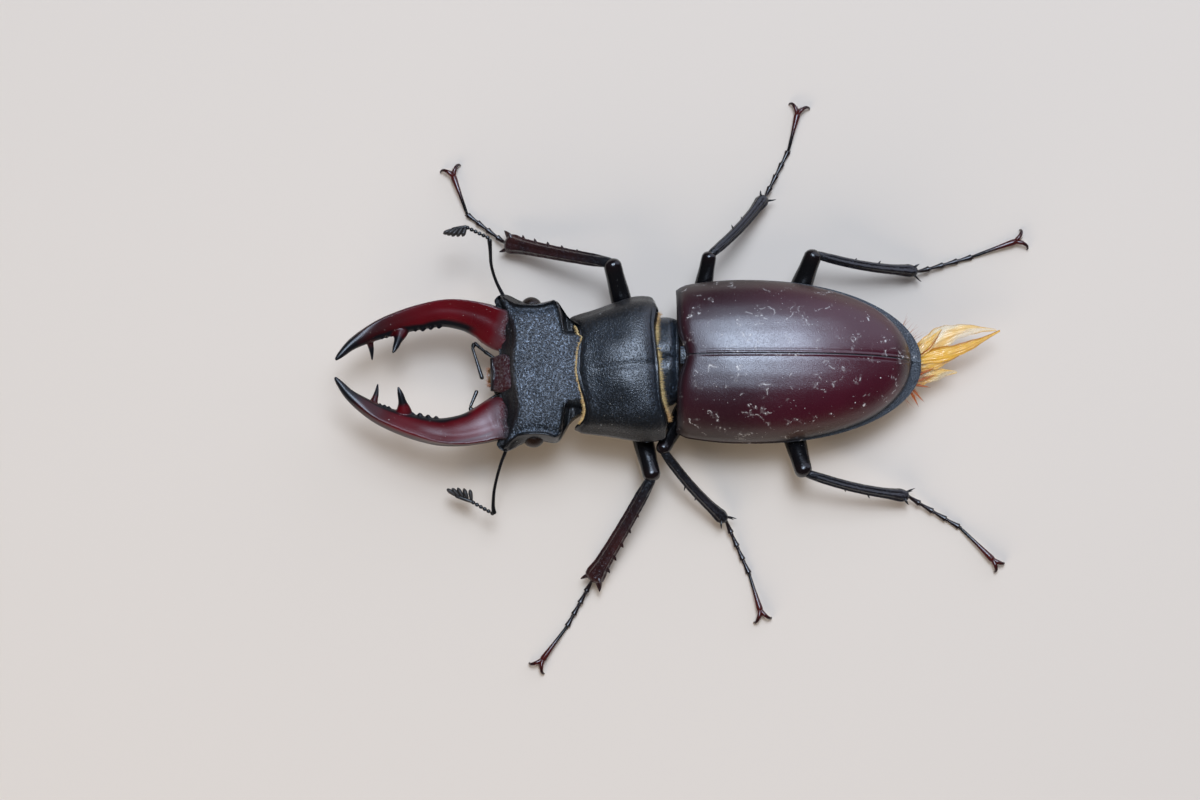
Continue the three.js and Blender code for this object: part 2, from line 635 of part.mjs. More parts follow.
// A leaf of wing membrane that sticks out past the tail.
function wingTip({ root, tip, wide, lift }) {
  const [from, to] = [vec(...root), vec(...tip)];
  const way = to.clone().sub(from);
  const across = vec(way.y, -way.x, 0).normalize();
  const leaf = (depth) => (u, v) => {
    const side = (v - 0.5) * 2;
    const place = from.clone().addScaledVector(way, u).addScaledVector(across, side * wide * leafHalf(u));
    place.z += depth + lift * (1 - side * side) * sin(PI * u);
    return place;
  };
  return plate(3, 7, leaf(0.25), leaf(-0.25)).subtract(abdomen());
}

const WING_TIPS = {
  wing_tip_long: { root: [-0.8, 27.0, 4.75], tip: [-3.8, 36.2, 4.2], wide: 2.05, lift: 0.5 },
  wing_tip_short: { root: [1.5, 26.6, 4.0], tip: [0.9, 32.2, 3.3], wide: 1.2, lift: 0.3 },
};

// ---------------------------------------------------------------- the whole beetle

const beetle = new THREE.Group();

// Adds a solid to the beetle as a named mesh with its own material.
function add(name, shape, look) {
  const { vertProperties, triVerts } = shape.getMesh();
  const geometry = new THREE.BufferGeometry();
  geometry.setAttribute("position", new THREE.BufferAttribute(vertProperties, 3));
  geometry.setIndex(new THREE.BufferAttribute(triVerts, 1));
  geometry.computeVertexNormals();
  const material = new THREE.MeshStandardMaterial({ ...COLOURS[look], metalness: 0 });
  const mesh = new THREE.Mesh(geometry, material);
  mesh.name = name;
  beetle.add(mesh);
}

for (const [name, side] of [["left", 1], ["right", -1]]) {
  add("elytron_" + name, wingCase(side), "wingcase");
  add("mandible_" + name, jaw(side).subtract(labrum(GAP)), "jaw");
  add("eye_" + name, eye(side), "eye");
  add("antenna_" + name + "_scape", scape(name), "feeler");
  add("antenna_" + name + "_club", club(name), "feeler");
  add("palp_" + name, palp(name), "feeler");
}
add("scutellum", scutellum(0), "armour");
add("abdomen", abdomen(), "armour");
add("metathorax", chest(), "armour");
add("waist", waist(0).subtract(scutellum(GAP)), "joint");
add("pronotum", pronotum(), "armour");
add("prosternum", prosternum(), "armour");
add("neck", neck(0), "joint");
add("head", head(), "armour");
add("labrum", labrum(), "jaw");
add("lip", lip().subtract(head()), "lip");

// The hips and thighs are cut where they lie against the body.
const torso = [prosternum(GAP), pronotum(), waist(GAP), chest(GAP), abdomen(GAP)];
const cutTorso = (shape) => torso.reduce((rest, piece) => rest.subtract(piece), shape);
for (const name of legNames) {
  add("coxa_" + name, cutTorso(coxa(name).subtract(femur(name, GAP))), "leg");
  add("femur_" + name, cutTorso(femur(name)), "leg");
  add("tibia_" + name, tibia(name).subtract(femur(name, GAP)), "shin");
  add("tarsus_" + name, tarsus(name), "leg");
}
for (const [name, leaf] of Object.entries(WING_TIPS)) add(name, wingTip(leaf), "membrane");

// The origin goes to the floor, under the middle of everything.
const box = new THREE.Box3().setFromObject(beetle);
const centre = box.getCenter(vec());
beetle.position.set(-centre.x, -centre.y, -box.min.z);

const model = new THREE.Group();
model.add(beetle);

export default model;
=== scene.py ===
# %% [markdown]
# # A male stag beetle, life size
# A still museum model of a large stag beetle. The solid parts come first, from the CAD frame, and
# this lesson gives each of them its real surface: polished jaws, grained black plates, satin wing
# cases, spiny legs, golden bristles and the amber tips of the folded wings. Every shape is worked
# out with numpy as a grid of points, in millimetres, in the beetle's own directions: X to its
# left, Y towards its tail, Z up, with the floor at zero.

# %% Load the frame
import math

import bpy
import numpy as np
from mathutils import Matrix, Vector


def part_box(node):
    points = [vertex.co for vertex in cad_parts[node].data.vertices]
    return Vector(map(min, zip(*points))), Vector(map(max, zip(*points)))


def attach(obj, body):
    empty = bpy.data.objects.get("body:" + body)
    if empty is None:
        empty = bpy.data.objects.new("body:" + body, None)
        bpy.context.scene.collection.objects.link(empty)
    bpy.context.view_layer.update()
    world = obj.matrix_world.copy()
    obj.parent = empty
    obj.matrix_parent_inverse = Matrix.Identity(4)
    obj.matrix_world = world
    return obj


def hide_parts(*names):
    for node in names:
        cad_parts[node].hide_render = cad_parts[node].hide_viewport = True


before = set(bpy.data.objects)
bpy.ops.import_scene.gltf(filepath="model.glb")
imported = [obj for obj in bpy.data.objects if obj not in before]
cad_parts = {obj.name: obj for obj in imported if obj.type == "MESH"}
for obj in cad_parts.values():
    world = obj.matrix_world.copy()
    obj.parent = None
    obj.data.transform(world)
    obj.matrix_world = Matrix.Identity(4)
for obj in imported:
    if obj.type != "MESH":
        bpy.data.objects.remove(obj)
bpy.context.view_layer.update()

print("nodes:", len(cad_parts))

# %% [markdown]
# ## From the beetle's millimetres to Blender's metres
# The frame's origin is under the middle of everything, legs and jaws included, which is an
# awkward place to think from. The beetle's own origin is where the seam between its wing cases
# begins. The left wing case tells us where that is: its inner edge lies a hair from the seam, and
# its last row a known length behind the start.

# %% Find the beetle's own origin
MM = 0.001
UP = np.array([0.0, 0.0, 1.0])
SIDES = {"left": 1, "right": -1}
SEAM, CASE_LENGTH, LAST_ROW = 0.03, 27.3, 0.997
case_low, case_high = (np.array(corner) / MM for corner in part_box("elytron_left"))
ORIGIN = np.array([case_low[0] - SEAM, case_high[1] - LAST_ROW * CASE_LENGTH, 0.0])
print("beetle's origin in the frame, mm:", np.round(ORIGIN, 3))


def metres(points):
    """Beetle millimetres to frame metres: add the origin, then scale."""
    return (np.asarray(points, float) + ORIGIN) * MM


# %% [markdown]
# ## The camera
# A beetle is drawn and shown from above. This camera stands on the beetle's left, almost straight
# over it, with the tail to the right of the frame. A long lens keeps the parallel lines of the
# wing cases parallel.

# %% Place the camera
CAMERA = {"target": (4.12, -8.44, 5.0), "elevation": 80.5, "distance": 370.0,
          "lens": 100.0, "film": 36.0, "nearest": 0.01, "furthest": 20.0}


def pose_of(right, up, back, place):
    """A 4 by 4 pose from three directions, as columns, and a place in metres."""
    pose = np.eye(4)
    pose[:3, :] = np.column_stack([right, up, back, place])
    return Matrix(pose.tolist())


tilt = math.radians(CAMERA["elevation"])
camera_back = np.array([math.cos(tilt), 0.0, math.sin(tilt)])
camera_right = np.array([0.0, 1.0, 0.0])
camera_place = metres(np.array(CAMERA["target"]) + CAMERA["distance"] * camera_back)
camera = bpy.data.objects.new("camera", bpy.data.cameras.new("camera"))
bpy.context.scene.collection.objects.link(camera)
camera.data.lens, camera.data.sensor_width = CAMERA["lens"], CAMERA["film"]
camera.data.clip_start, camera.data.clip_end = CAMERA["nearest"], CAMERA["furthest"]
camera.matrix_world = pose_of(camera_right, np.cross(camera_back, camera_right), camera_back,
                              camera_place)
bpy.context.scene.camera = camera
print("camera at", np.round(camera_place, 4))

# %% [markdown]
# ## Floor and light
# Glossy shell shows its shape by what it reflects, so the light matters as much as the material.
# A cool window in a paler patch of sky hangs over the beetle's right side. It gives the long soft
# reflection beside the seam of the wing cases, brightest in the middle. A dim lamp glints on the
# tail and the far side, and a warm one that is kept out of the reflections fills in the shadows.

# %% Make the stage
BODY_MIDDLE = np.array([0.0, 0.0, 6.0])
LAMPS = {  # direction from the body, distance, width and depth, power, colour
    "window": ((-0.26, 0.05, 1.0), 700, (240, 230), 2.35, (0.66, 0.79, 1.0)),
    "pale_sky": ((-0.33, 0.05, 1.0), 720, (620, 430), 4.2, (0.67, 0.80, 1.0)),
    "sky": ((-1.0, 0.9, 0.62), 800, (900, 900), 2.6, (0.72, 0.78, 1.0)),
    "glow": ((0.9, -0.5, 0.55), 600, (500, 500), 2.2, (1.0, 0.90, 0.78)),
}
FLOOR_HALF, PAPER, ROOM_LIGHT = 1.6, (0.62, 0.53, 0.44, 1), (1.0, 0.96, 0.90, 1)


def unit(v):
    """The same direction, one long."""
    return v / np.linalg.norm(v)


def lamp(name, direction, distance, size, power, colour):
    """An oval area lamp at a distance along a direction, facing the middle of the body."""
    away = unit(np.array(direction))
    data = bpy.data.lights.new(name, "AREA")
    data.shape, data.energy, data.color = "ELLIPSE", power, colour
    data.size, data.size_y = size[0] * MM, size[1] * MM
    light = bpy.data.objects.new(name, data)
    bpy.context.scene.collection.objects.link(light)
    side = unit(np.cross([0.0, 1.0, 0.0], away))
    light.matrix_world = pose_of(side, np.cross(away, side), away,
                                 metres(BODY_MIDDLE + away * distance))
    return light


lamps = {name: lamp(name, *values) for name, values in LAMPS.items()}
lamps["glow"].visible_glossy = False
floor_mesh = bpy.data.meshes.new("floor")
corners = [(x * FLOOR_HALF, y * FLOOR_HALF, 0) for x, y in ((-1, -1), (1, -1), (1, 1), (-1, 1))]
floor_mesh.from_pydata(corners, [], [(0, 1, 2, 3)])
floor = bpy.data.objects.new("floor", floor_mesh)
bpy.context.scene.collection.objects.link(floor)
paper = bpy.data.materials.new("paper")
paper.use_nodes = True
paper.node_tree.nodes["Principled BSDF"].inputs["Base Color"].default_value = PAPER
paper.node_tree.nodes["Principled BSDF"].inputs["Roughness"].default_value = 0.9
floor_mesh.materials.append(paper)
room = bpy.data.worlds.new("room")
room.use_nodes = True
room.node_tree.nodes["Background"].inputs["Color"].default_value = ROOM_LIGHT
room.node_tree.nodes["Background"].inputs["Strength"].default_value = 0.05
bpy.context.scene.world = room
bpy.context.scene.view_settings.view_transform = "Standard"
print("lamps:", list(lamps))

# %% [markdown]
# ## Small tools for shapes
# A few bits of arithmetic are used everywhere. A `curve` draws a smooth line through a few
# measured values. `fade` goes softly from 0 to 1. `bump` is a rounded hill, for beads and
# grooves. `squarish` is the section of most plates, an oval with full shoulders. `crowded` spaces
# numbers closer together at both ends, where an edge needs more points.

# %% Arithmetic
def curve(keys, where):
    """Cubic pieces through (place, value...) keys. The slope at a key is that of the straight line
    between its two neighbours, so the line has no kinks."""
    keys = np.asarray(keys, float)
    x, y = keys[:, 0], keys[:, 1:]
    here = np.arange(len(x))
    before, after = np.maximum(here - 1, 0), np.minimum(here + 1, len(x) - 1)
    slope = (y[after] - y[before]) / (x[after] - x[before])[:, None]
    where = np.asarray(where, float)
    i = np.clip(np.searchsorted(x, where, side="right") - 1, 0, len(x) - 2)
    width = (x[i + 1] - x[i])[..., None]
    t = np.clip((where - x[i])[..., None] / width, 0, 1)
    value = (1 + 2 * t) * (1 - t) ** 2 * y[i] + t * (1 - t) ** 2 * width * slope[i]
    value += t**2 * (3 - 2 * t) * y[i + 1] - t**2 * (1 - t) * width * slope[i + 1]
    return value[..., 0] if value.shape[-1] == 1 else value


def fade(x, start, end):
    """0 before start, 1 after end, and 3t^2 - 2t^3 between."""
    t = np.clip((np.asarray(x, float) - start) / (end - start), 0, 1)
    return t * t * (3 - 2 * t)


def bump(x, centre, width):
    """A hill of height 1: e to the power of minus the squared distance over the width."""
    return np.exp(-(((np.asarray(x, float) - centre) / width) ** 2))


def power(x, n):
    """The size of x to the power n, with x's own sign."""
    return np.sign(x) * np.abs(x) ** n


def squarish(angle, wide, above, below, n, m=None):
    """Across and up of a squarish oval: wide * cos^n, and above or below times sin^m. If only one
    power is given, it serves for both."""
    rise = np.sin(angle)
    high = np.where(rise > 0, above, below) * power(rise, n if m is None else m)
    return wide * power(np.cos(angle), n), high


def crowded(count, pull):
    """Numbers from 0 to 1, closer at both ends: s minus a sine of s."""
    s = np.linspace(0, 1, count)
    return s - pull * np.sin(2 * np.pi * s) / (2 * np.pi)


def ring_angles(count):
    """Even angles round a ring, as one row."""
    return (np.arange(count) / count * 2 * np.pi)[None]


def ripple(points, size, seed):
    """Soft random waves about 1 high and so many mm long: twice the mean of nine sines whose
    directions and starts come from a seeded generator."""
    chance, count = np.random.default_rng(seed), 9
    waves = chance.normal(size=(count, 3)) / size * 2.2
    starts = chance.uniform(0, 2 * np.pi, count)
    return np.sin(points @ waves.T + starts).mean(-1) * 2


def grid_of(x, y, z):
    """A grid of points from three coordinates that may each be a row, a column or a grid."""
    return np.stack(np.broadcast_arrays(x, y, z), -1)


def framed(points, place):
    """Points of a part that has its own x, y and turn, such as the head, put in their place."""
    c, s = math.cos(math.radians(place["turn"])), math.sin(math.radians(place["turn"]))
    x, y, z = np.moveaxis(np.asarray(points, float), -1, 0)
    return np.stack([place["x"] + c * x - s * y, place["y"] + s * x + c * y, z], -1)


quarter = float(curve([[0, 0], [1, 1], [2, 0]], 0.5))
print("a curve through 0, 1, 0 at its quarter:", round(quarter, 3))

# %% [markdown]
# ## Small tools for meshes
# A grid of points becomes a mesh in two ways. A `tube` joins each row into a ring and closes the
# ends, like a sausage. A `shell` is a curved plate with an outer and an inner face and a rim.
# `sweep` carries an oval along a path, which gives every limb, feeler, tooth and claw. Both turn
# their faces outwards by checking the sign of the volume they enclose.

# %% Meshes
def weave(rows, cols, ring):
    """Four-sided faces between neighbouring points of a grid. A ring also joins its two sides."""
    i = np.arange(rows - 1)[:, None]
    j = np.arange(cols if ring else cols - 1)[None, :]
    k = (j + 1) % cols
    quads = np.broadcast_arrays(i * cols + j, i * cols + k, (i + 1) * cols + k, (i + 1) * cols + j)
    return np.stack(quads, -1).reshape(-1, 4)


def outward(points, quads, tris):
    """The same faces, all turned round if the volume they enclose comes out negative."""
    corners = np.vstack([quads[:, [0, 1, 2]], quads[:, [0, 2, 3]], tris])
    a, b, c = (points[corners[:, n]] for n in range(3))
    if np.einsum("ij,ij->", a - points[0], np.cross(b - points[0], c - points[0])) < 0:
        return points, quads[:, ::-1], tris[:, ::-1]
    return points, quads, tris


def tube(grid):
    """A closed skin over a grid whose rows are rings, with a point in the middle of each end."""
    rows, cols = grid.shape[:2]
    points = np.vstack([grid.reshape(-1, 3), grid[0].mean(0), grid[-1].mean(0)])
    j = np.arange(cols)
    k, n = (j + 1) % cols, rows * cols
    first = np.stack([np.full(cols, n), k, j], 1)
    last = np.stack([np.full(cols, n + 1), n - cols + j, n - cols + k], 1)
    return outward(points, weave(rows, cols, True), np.vstack([first, last]))


def shell(outer, inner):
    """A closed plate: two grids of the same shape, and a rim of faces between their edges."""
    rows, cols = outer.shape[:2]
    n = rows * cols
    face = weave(rows, cols, False)
    index = np.arange(n).reshape(rows, cols)
    loop = np.concatenate([index[0, :-1], index[:-1, -1], index[-1, :0:-1], index[:0:-1, 0]])
    after = np.roll(loop, -1)
    rim = np.stack([after, loop, loop + n, after + n], 1)
    points = np.vstack([outer.reshape(-1, 3), inner.reshape(-1, 3)])
    return outward(points, np.vstack([face, face[:, ::-1] + n, rim]), np.zeros((0, 3), int))


def units(vectors):
    """Each row of an array as a direction one long."""
    return vectors / np.linalg.norm(vectors, axis=1, keepdims=True)


def sweep(path, wide, high, sides, relief=0.0):
    """An oval carried along a path. side = way x up, lift = side x way, and the point at an angle
    is path + side * wide * cos + lift * high * sin. Relief is added to both half widths."""
    way = units(np.gradient(path, axis=0))
    side = units(np.cross(way, UP))
    lift = np.cross(side, way)
    angle = ring_angles(sides)
    across = (wide[:, None] + relief) * np.cos(angle)
    above = (high[:, None] + relief) * np.sin(angle)
    return path[:, None] + across[..., None] * side[:, None] + above[..., None] * lift[:, None]


def rounded(path, wide, ends):
    """How much to narrow a swept oval near its ends so that they close as half balls: the circle
    sqrt(1 - (1 - d/w)^2) of the distance d to the end, over a share of the half width w there."""
    gone = np.concatenate([[0], np.cumsum(np.linalg.norm(np.diff(path, axis=0), axis=1))])
    first = gone / (wide[0] * ends[0] + 1e-9)
    last = (gone[-1] - gone) / (wide[-1] * ends[1] + 1e-9)
    return np.prod([np.sqrt(1 - (1 - np.clip(d, 0.02, 1)) ** 2) for d in (first, last)], axis=0)


def limb(keys, count, sides, ends=(1.0, 1.0), relief=None):
    """A swept oval whose line and half widths are smooth curves through (x, y, z, wide, high) keys,
    with both ends rounded. Relief is a function of the share along and the angle."""
    keys = np.asarray(keys, float)
    gaps = np.linalg.norm(np.diff(keys[:, :3], axis=0), axis=1)
    share = np.concatenate([[0], np.cumsum(gaps)]) / gaps.sum()
    t = 0.5 - 0.5 * np.cos(np.pi * np.linspace(0, 1, count))
    line = curve(np.column_stack([share, keys]), t)
    narrow = rounded(line[:, :3], np.maximum(line[:, 3], 1e-3), ends)
    extra = 0.0 if relief is None else relief(t[:, None], ring_angles(sides)) * narrow[:, None]
    return sweep(line[:, :3], line[:, 3] * narrow, line[:, 4] * narrow, sides, extra)


def spike(start, end, radius, sides, count, bend=(0, 0, 0)):
    """A pointed thorn: a swept circle whose radius falls as (1 - t)^0.7, bowed at its middle."""
    t = np.linspace(0, 1, count)
    line = np.outer(1 - t, start) + np.outer(t, end) + np.outer(np.sin(np.pi * t), bend)
    width = radius * (1 - t) ** 0.7 + 0.012
    return tube(sweep(line, width, width, sides))


# %% [markdown]
# ## Turning shapes into pieces
# A piece is one Blender object made of one or more closed shapes. It rides on the frame's only
# body and stands for its CAD nodes. A mark is a number at each point, such as how black a jaw is
# there, which a finish can read.

# %% Pieces
made = {}


def new_mesh(name, shapes):
    """A mesh in metres from several (points, quads, triangles) shapes."""
    counts = np.cumsum([0] + [len(shape[0]) for shape in shapes])
    points = np.vstack([shape[0] for shape in shapes])
    quads, tris = (np.vstack([shape[kind] + n for shape, n in zip(shapes, counts)])
                   for kind in (1, 2))
    mesh = bpy.data.meshes.new(name)
    mesh.vertices.add(len(points))
    mesh.vertices.foreach_set("co", metres(points).astype(np.float32).ravel())
    loops = np.concatenate([quads.ravel(), tris.ravel()]).astype(np.int32)
    mesh.loops.add(len(loops))
    mesh.loops.foreach_set("vertex_index", loops)
    starts = np.append(np.arange(len(quads)) * 4, 4 * len(quads) + np.arange(len(tris)) * 3)
    mesh.polygons.add(len(starts))
    mesh.polygons.foreach_set("loop_start", starts.astype(np.int32))
    mesh.update(calc_edges=True)
    mesh.validate()
    return mesh


def points_of(mesh):
    """The points of a mesh, back in beetle millimetres."""
    flat = np.empty(len(mesh.vertices) * 3, np.float32)
    mesh.vertices.foreach_get("co", flat)
    return flat.reshape(-1, 3) / MM - ORIGIN


def piece(name, mesh, finish, slot, nodes=(), crease=50, **marks):
    """Makes shapes or a mesh a finished piece with its finish, frame body, CAD nodes and marks. The
    slot is not used. Edges sharper than the crease angle stay sharp. One number may mark all the
    points."""
    if not isinstance(mesh, bpy.types.Mesh):
        mesh = new_mesh(name, mesh)
    for mark, values in marks.items():
        values = np.broadcast_to(np.ravel(values), len(mesh.vertices)).astype(np.float32)
        mesh.attributes.new(mark, "FLOAT", "POINT").data.foreach_set("value", values)
    mesh.shade_smooth()
    mesh.set_sharp_from_angle(angle=math.radians(crease))
    mesh.materials.clear()
    mesh.materials.append(finish.material)
    thing = bpy.data.objects.new(name, mesh)
    bpy.context.scene.collection.objects.link(thing)
    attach(thing, "root")
    if nodes:
        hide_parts(*nodes)
    made[name] = len(mesh.loops) - 2 * len(mesh.polygons)
    print(f"{name}: {made[name]} triangles")
    return thing


def on_tube(values, first=0.0, last=0.0):
    """A mark for a tube's points: the numbers of its grid, then one for each end."""
    return np.append(np.ravel(values), [first, last])


def shapes_and_mark(pairs):
    """Splits (shape, number or numbers) pairs: the shapes, and one mark for all their points."""
    mark = np.concatenate([np.broadcast_to(value, len(shape[0])) for shape, value in pairs])
    return [shape for shape, _ in pairs], mark


def fused(name, shapes, voxel, rounds=3):
    """One skin round several closed shapes that pass through each other: Blender's voxel remesh,
    then a little smoothing. It is what turns a blade and its teeth into one piece of horn."""
    rough = bpy.data.objects.new("rough", new_mesh("rough", shapes))
    bpy.context.scene.collection.objects.link(rough)
    remesh = rough.modifiers.new("remesh", "REMESH")
    remesh.mode, remesh.voxel_size, remesh.adaptivity = "VOXEL", voxel * MM, 0.0
    smooth = rough.modifiers.new("smooth", "SMOOTH")
    smooth.factor, smooth.iterations = 0.5, rounds
    remade = rough.evaluated_get(bpy.context.evaluated_depsgraph_get())
    mesh = bpy.data.meshes.new_from_object(remade)
    mesh.name = name
    bpy.data.objects.remove(rough)
    return mesh

# %% [markdown]
# ## What beetle shell looks like close up
# A beetle's shell is hard, dark and coloured right through, under a thin clear skin. Three things
# make it look real: tiny pits and grains that break the reflection, fine scratches from life
# under bark, and dust that catches the light. Each is a node group, built once, with its own
# numbers in every material. All read the object's own coordinates, so nothing slides when the
# camera moves.

# %% Node helpers
class Nodes:
    """A node tree, with short ways to add the nodes that the finishes are made of. A value is a
    number, a colour as red, green and blue, or another node's output."""

    def __init__(self, tree):
        self.tree = tree

    def feed(self, socket, value):
        """Links a socket to another node's output, or sets its own value."""
        if isinstance(value, bpy.types.NodeSocket):
            self.tree.links.new(value, socket)
        elif socket.type == "RGBA":
            socket.default_value = (*value, 1)
        else:
            socket.default_value = value

    def add(self, kind, inputs=None, **settings):
        """Adds a node, sets its options and feeds its inputs."""
        node = self.tree.nodes.new(kind)
        for key, value in settings.items():
            setattr(node, key, value)
        for key, value in (inputs or {}).items():
            self.feed(node.inputs[key], value)
        return node

    def math(self, operation, *values, clamp=False):
        """One Math node's result."""
        inputs = dict(enumerate(values))
        return self.add("ShaderNodeMath", inputs, operation=operation, use_clamp=clamp).outputs[0]

    def times(self, first, second):
        """first * second."""
        return self.math("MULTIPLY", first, second)

    def scale(self, value, by, plus):
        """value * by + plus."""
        return self.math("MULTIPLY_ADD", value, by, plus)

    def rest(self, value, clamp=False):
        """1 - value."""
        return self.math("SUBTRACT", 1.0, value, clamp=clamp)

    def vector_math(self, operation, vector, inputs):
        """One Vector Math node's result."""
        inputs = {0: vector, **inputs}
        return self.add("ShaderNodeVectorMath", inputs, operation=operation).outputs[0]

    def step(self, value, start, end, low=0.0, high=1.0):
        """A soft step from low to high as the value goes from start to end."""
        inputs = {"Value": value, "From Min": start, "From Max": end, "To Min": low, "To Max": high}
        return self.add("ShaderNodeMapRange", inputs,
                        interpolation_type="SMOOTHSTEP").outputs["Result"]

    def blend(self, share, first, second):
        """A mix of two colours."""
        inputs = {0: share, 6: first, 7: second}
        return self.add("ShaderNodeMix", inputs, data_type="RGBA").outputs[2]

    def noise(self, vector, scale, detail=2.0, rough=0.5):
        """A noise value from 0 to 1."""
        inputs = {"Vector": vector, "Scale": scale, "Detail": detail, "Roughness": rough}
        return self.add("ShaderNodeTexNoise", inputs).outputs[0]

    def cells(self, vector, scale):
        """A Voronoi node: the distance to the nearest cell's middle and that cell's colour."""
        inputs = {"Vector": vector, "Scale": scale}
        return self.add("ShaderNodeTexVoronoi", inputs, feature="F1").outputs


class Group(Nodes):
    """A new shader node group with numbers in and masks out, and its own coordinates in mm."""

    def __init__(self, name, inputs, outputs):
        super().__init__(bpy.data.node_groups.new(name, "ShaderNodeTree"))
        face = self.tree.interface
        face.new_socket(name="Vector", in_out="INPUT", socket_type="NodeSocketVector")
        for title, value in inputs.items():
            socket = face.new_socket(name=title, in_out="INPUT", socket_type="NodeSocketFloat")
            socket.default_value = value
        for title in outputs:
            face.new_socket(name=title, in_out="OUTPUT", socket_type="NodeSocketFloat")
        self.given = self.add("NodeGroupInput").outputs
        self.result = self.add("NodeGroupOutput").inputs
        self.mm = self.vector_math("SCALE", self.given["Vector"], {"Scale": 1 / MM})
        print("group:", name)

    def give(self, title, value):
        """Puts a value out of the group."""
        self.feed(self.result[title], value)


# %% [markdown]
# ### Pits and grain
# The cells of a Voronoi pattern are small domes with dark valleys between them, like shagreen
# leather, and fine noise lies over them. Together they are a height for a Bump node. The crests
# of another noise, brighter on some domes than on others, make a mask of painted glints: the
# finishes lay lighter colour there, which stands in for the sky's reflection on the grain.

# %% The pits and grain group
grain = g = Group("shell_grain", {"Pit size": 0.25, "Grain size": 0.08},
                  ["Height", "Pits", "Painted glints"])
pit_scale = g.math("DIVIDE", 1.0, g.given["Pit size"])
domes = g.cells(g.mm, pit_scale)
pits = g.rest(g.step(domes["Distance"], 0.05, 0.62))
fine = g.noise(g.mm, g.math("DIVIDE", 1.0, g.given["Grain size"]), 2.0, 0.6)
g.give("Height", g.scale(pits, 0.6, g.times(fine, 0.5)))
g.give("Pits", g.rest(pits))
# painted glints: noise crests, brighter on some cells, as a mask for painted highlights
lucky = g.add("ShaderNodeSeparateColor", {0: domes["Color"]}).outputs[0]
glints = g.step(g.noise(g.mm, g.times(pit_scale, 0.95), 3.0, 0.75), 0.47, 0.66)
g.give("Painted glints", g.times(g.scale(lucky, 0.7, 0.3), glints))

# %% [markdown]
# ### Dust
# Each cell of a coarse Voronoi pattern may hold one speck. A random number of the cell decides
# whether it does and how large it is, and noise makes its outline ragged.

# %% The dust group
dust = g = Group("dust", {"Spacing": 1.0, "Size": 0.1, "Cover": 0.4}, ["Mask"])
spots = g.cells(g.mm, g.math("DIVIDE", 1.0, g.given["Spacing"]))
away = g.times(spots["Distance"], g.given["Spacing"])
chances = g.add("ShaderNodeSeparateColor", {0: spots["Color"]}).outputs
ragged = g.scale(g.noise(g.mm, 9.0, 2.0), 1.2, 0.3)
radius = g.times(g.times(g.given["Size"], ragged), g.math("POWER", chances[0], 2.0))
speck = g.rest(g.step(g.math("DIVIDE", away, radius), 0.6, 1.0))
g.give("Mask", g.times(speck, g.math("LESS_THAN", chances[1], g.given["Cover"])))

# %% [markdown]
# ### Scratches
# Where a soft noise crosses one half, it draws long wandering contour lines, here drawn out a
# little along the body. A wide faint band beside each line is the smear that dries round a
# scratch. Kept only in a few patches and broken up by a finer noise, they read as the marks of a
# rough life.

# %% The scratch group
scratch = g = Group("scratches", {"Length": 3.0, "Width": 0.01, "Cover": 0.4}, ["Mask"])
scale = g.math("DIVIDE", 1.0, g.given["Length"])
field = g.noise(g.vector_math("MULTIPLY", g.mm, {1: (0.9, 0.62, 0.9)}), scale, 2.4, 0.45)
line = g.math("DIVIDE", g.math("ABSOLUTE", g.math("SUBTRACT", field, 0.5)), g.given["Width"])
mark = g.math("MAXIMUM", g.step(line, 0.3, 1.0, 1.0, 0.0), g.step(line, 0.3, 7.0, 0.20, 0.0))
elsewhere = g.vector_math("ADD", g.mm, {1: (31.0, 7.0, 13.0)})
patch = g.noise(elsewhere, g.times(scale, 0.9), 1.0)
inside = g.step(g.math("SUBTRACT", patch, g.rest(g.given["Cover"])), 0.0, 0.04)
broken = g.step(g.noise(elsewhere, 3.5, 2.0), 0.44, 0.58)
g.give("Mask", g.times(g.times(mark, inside), broken))

# %% [markdown]
# ### Putting a finish together
# Every finish starts the same way: a Principled shader, object coordinates, the grain as a bump,
# and dust and scratches over the colour. What differs is passed in: colours, gloss, sizes and
# strengths.

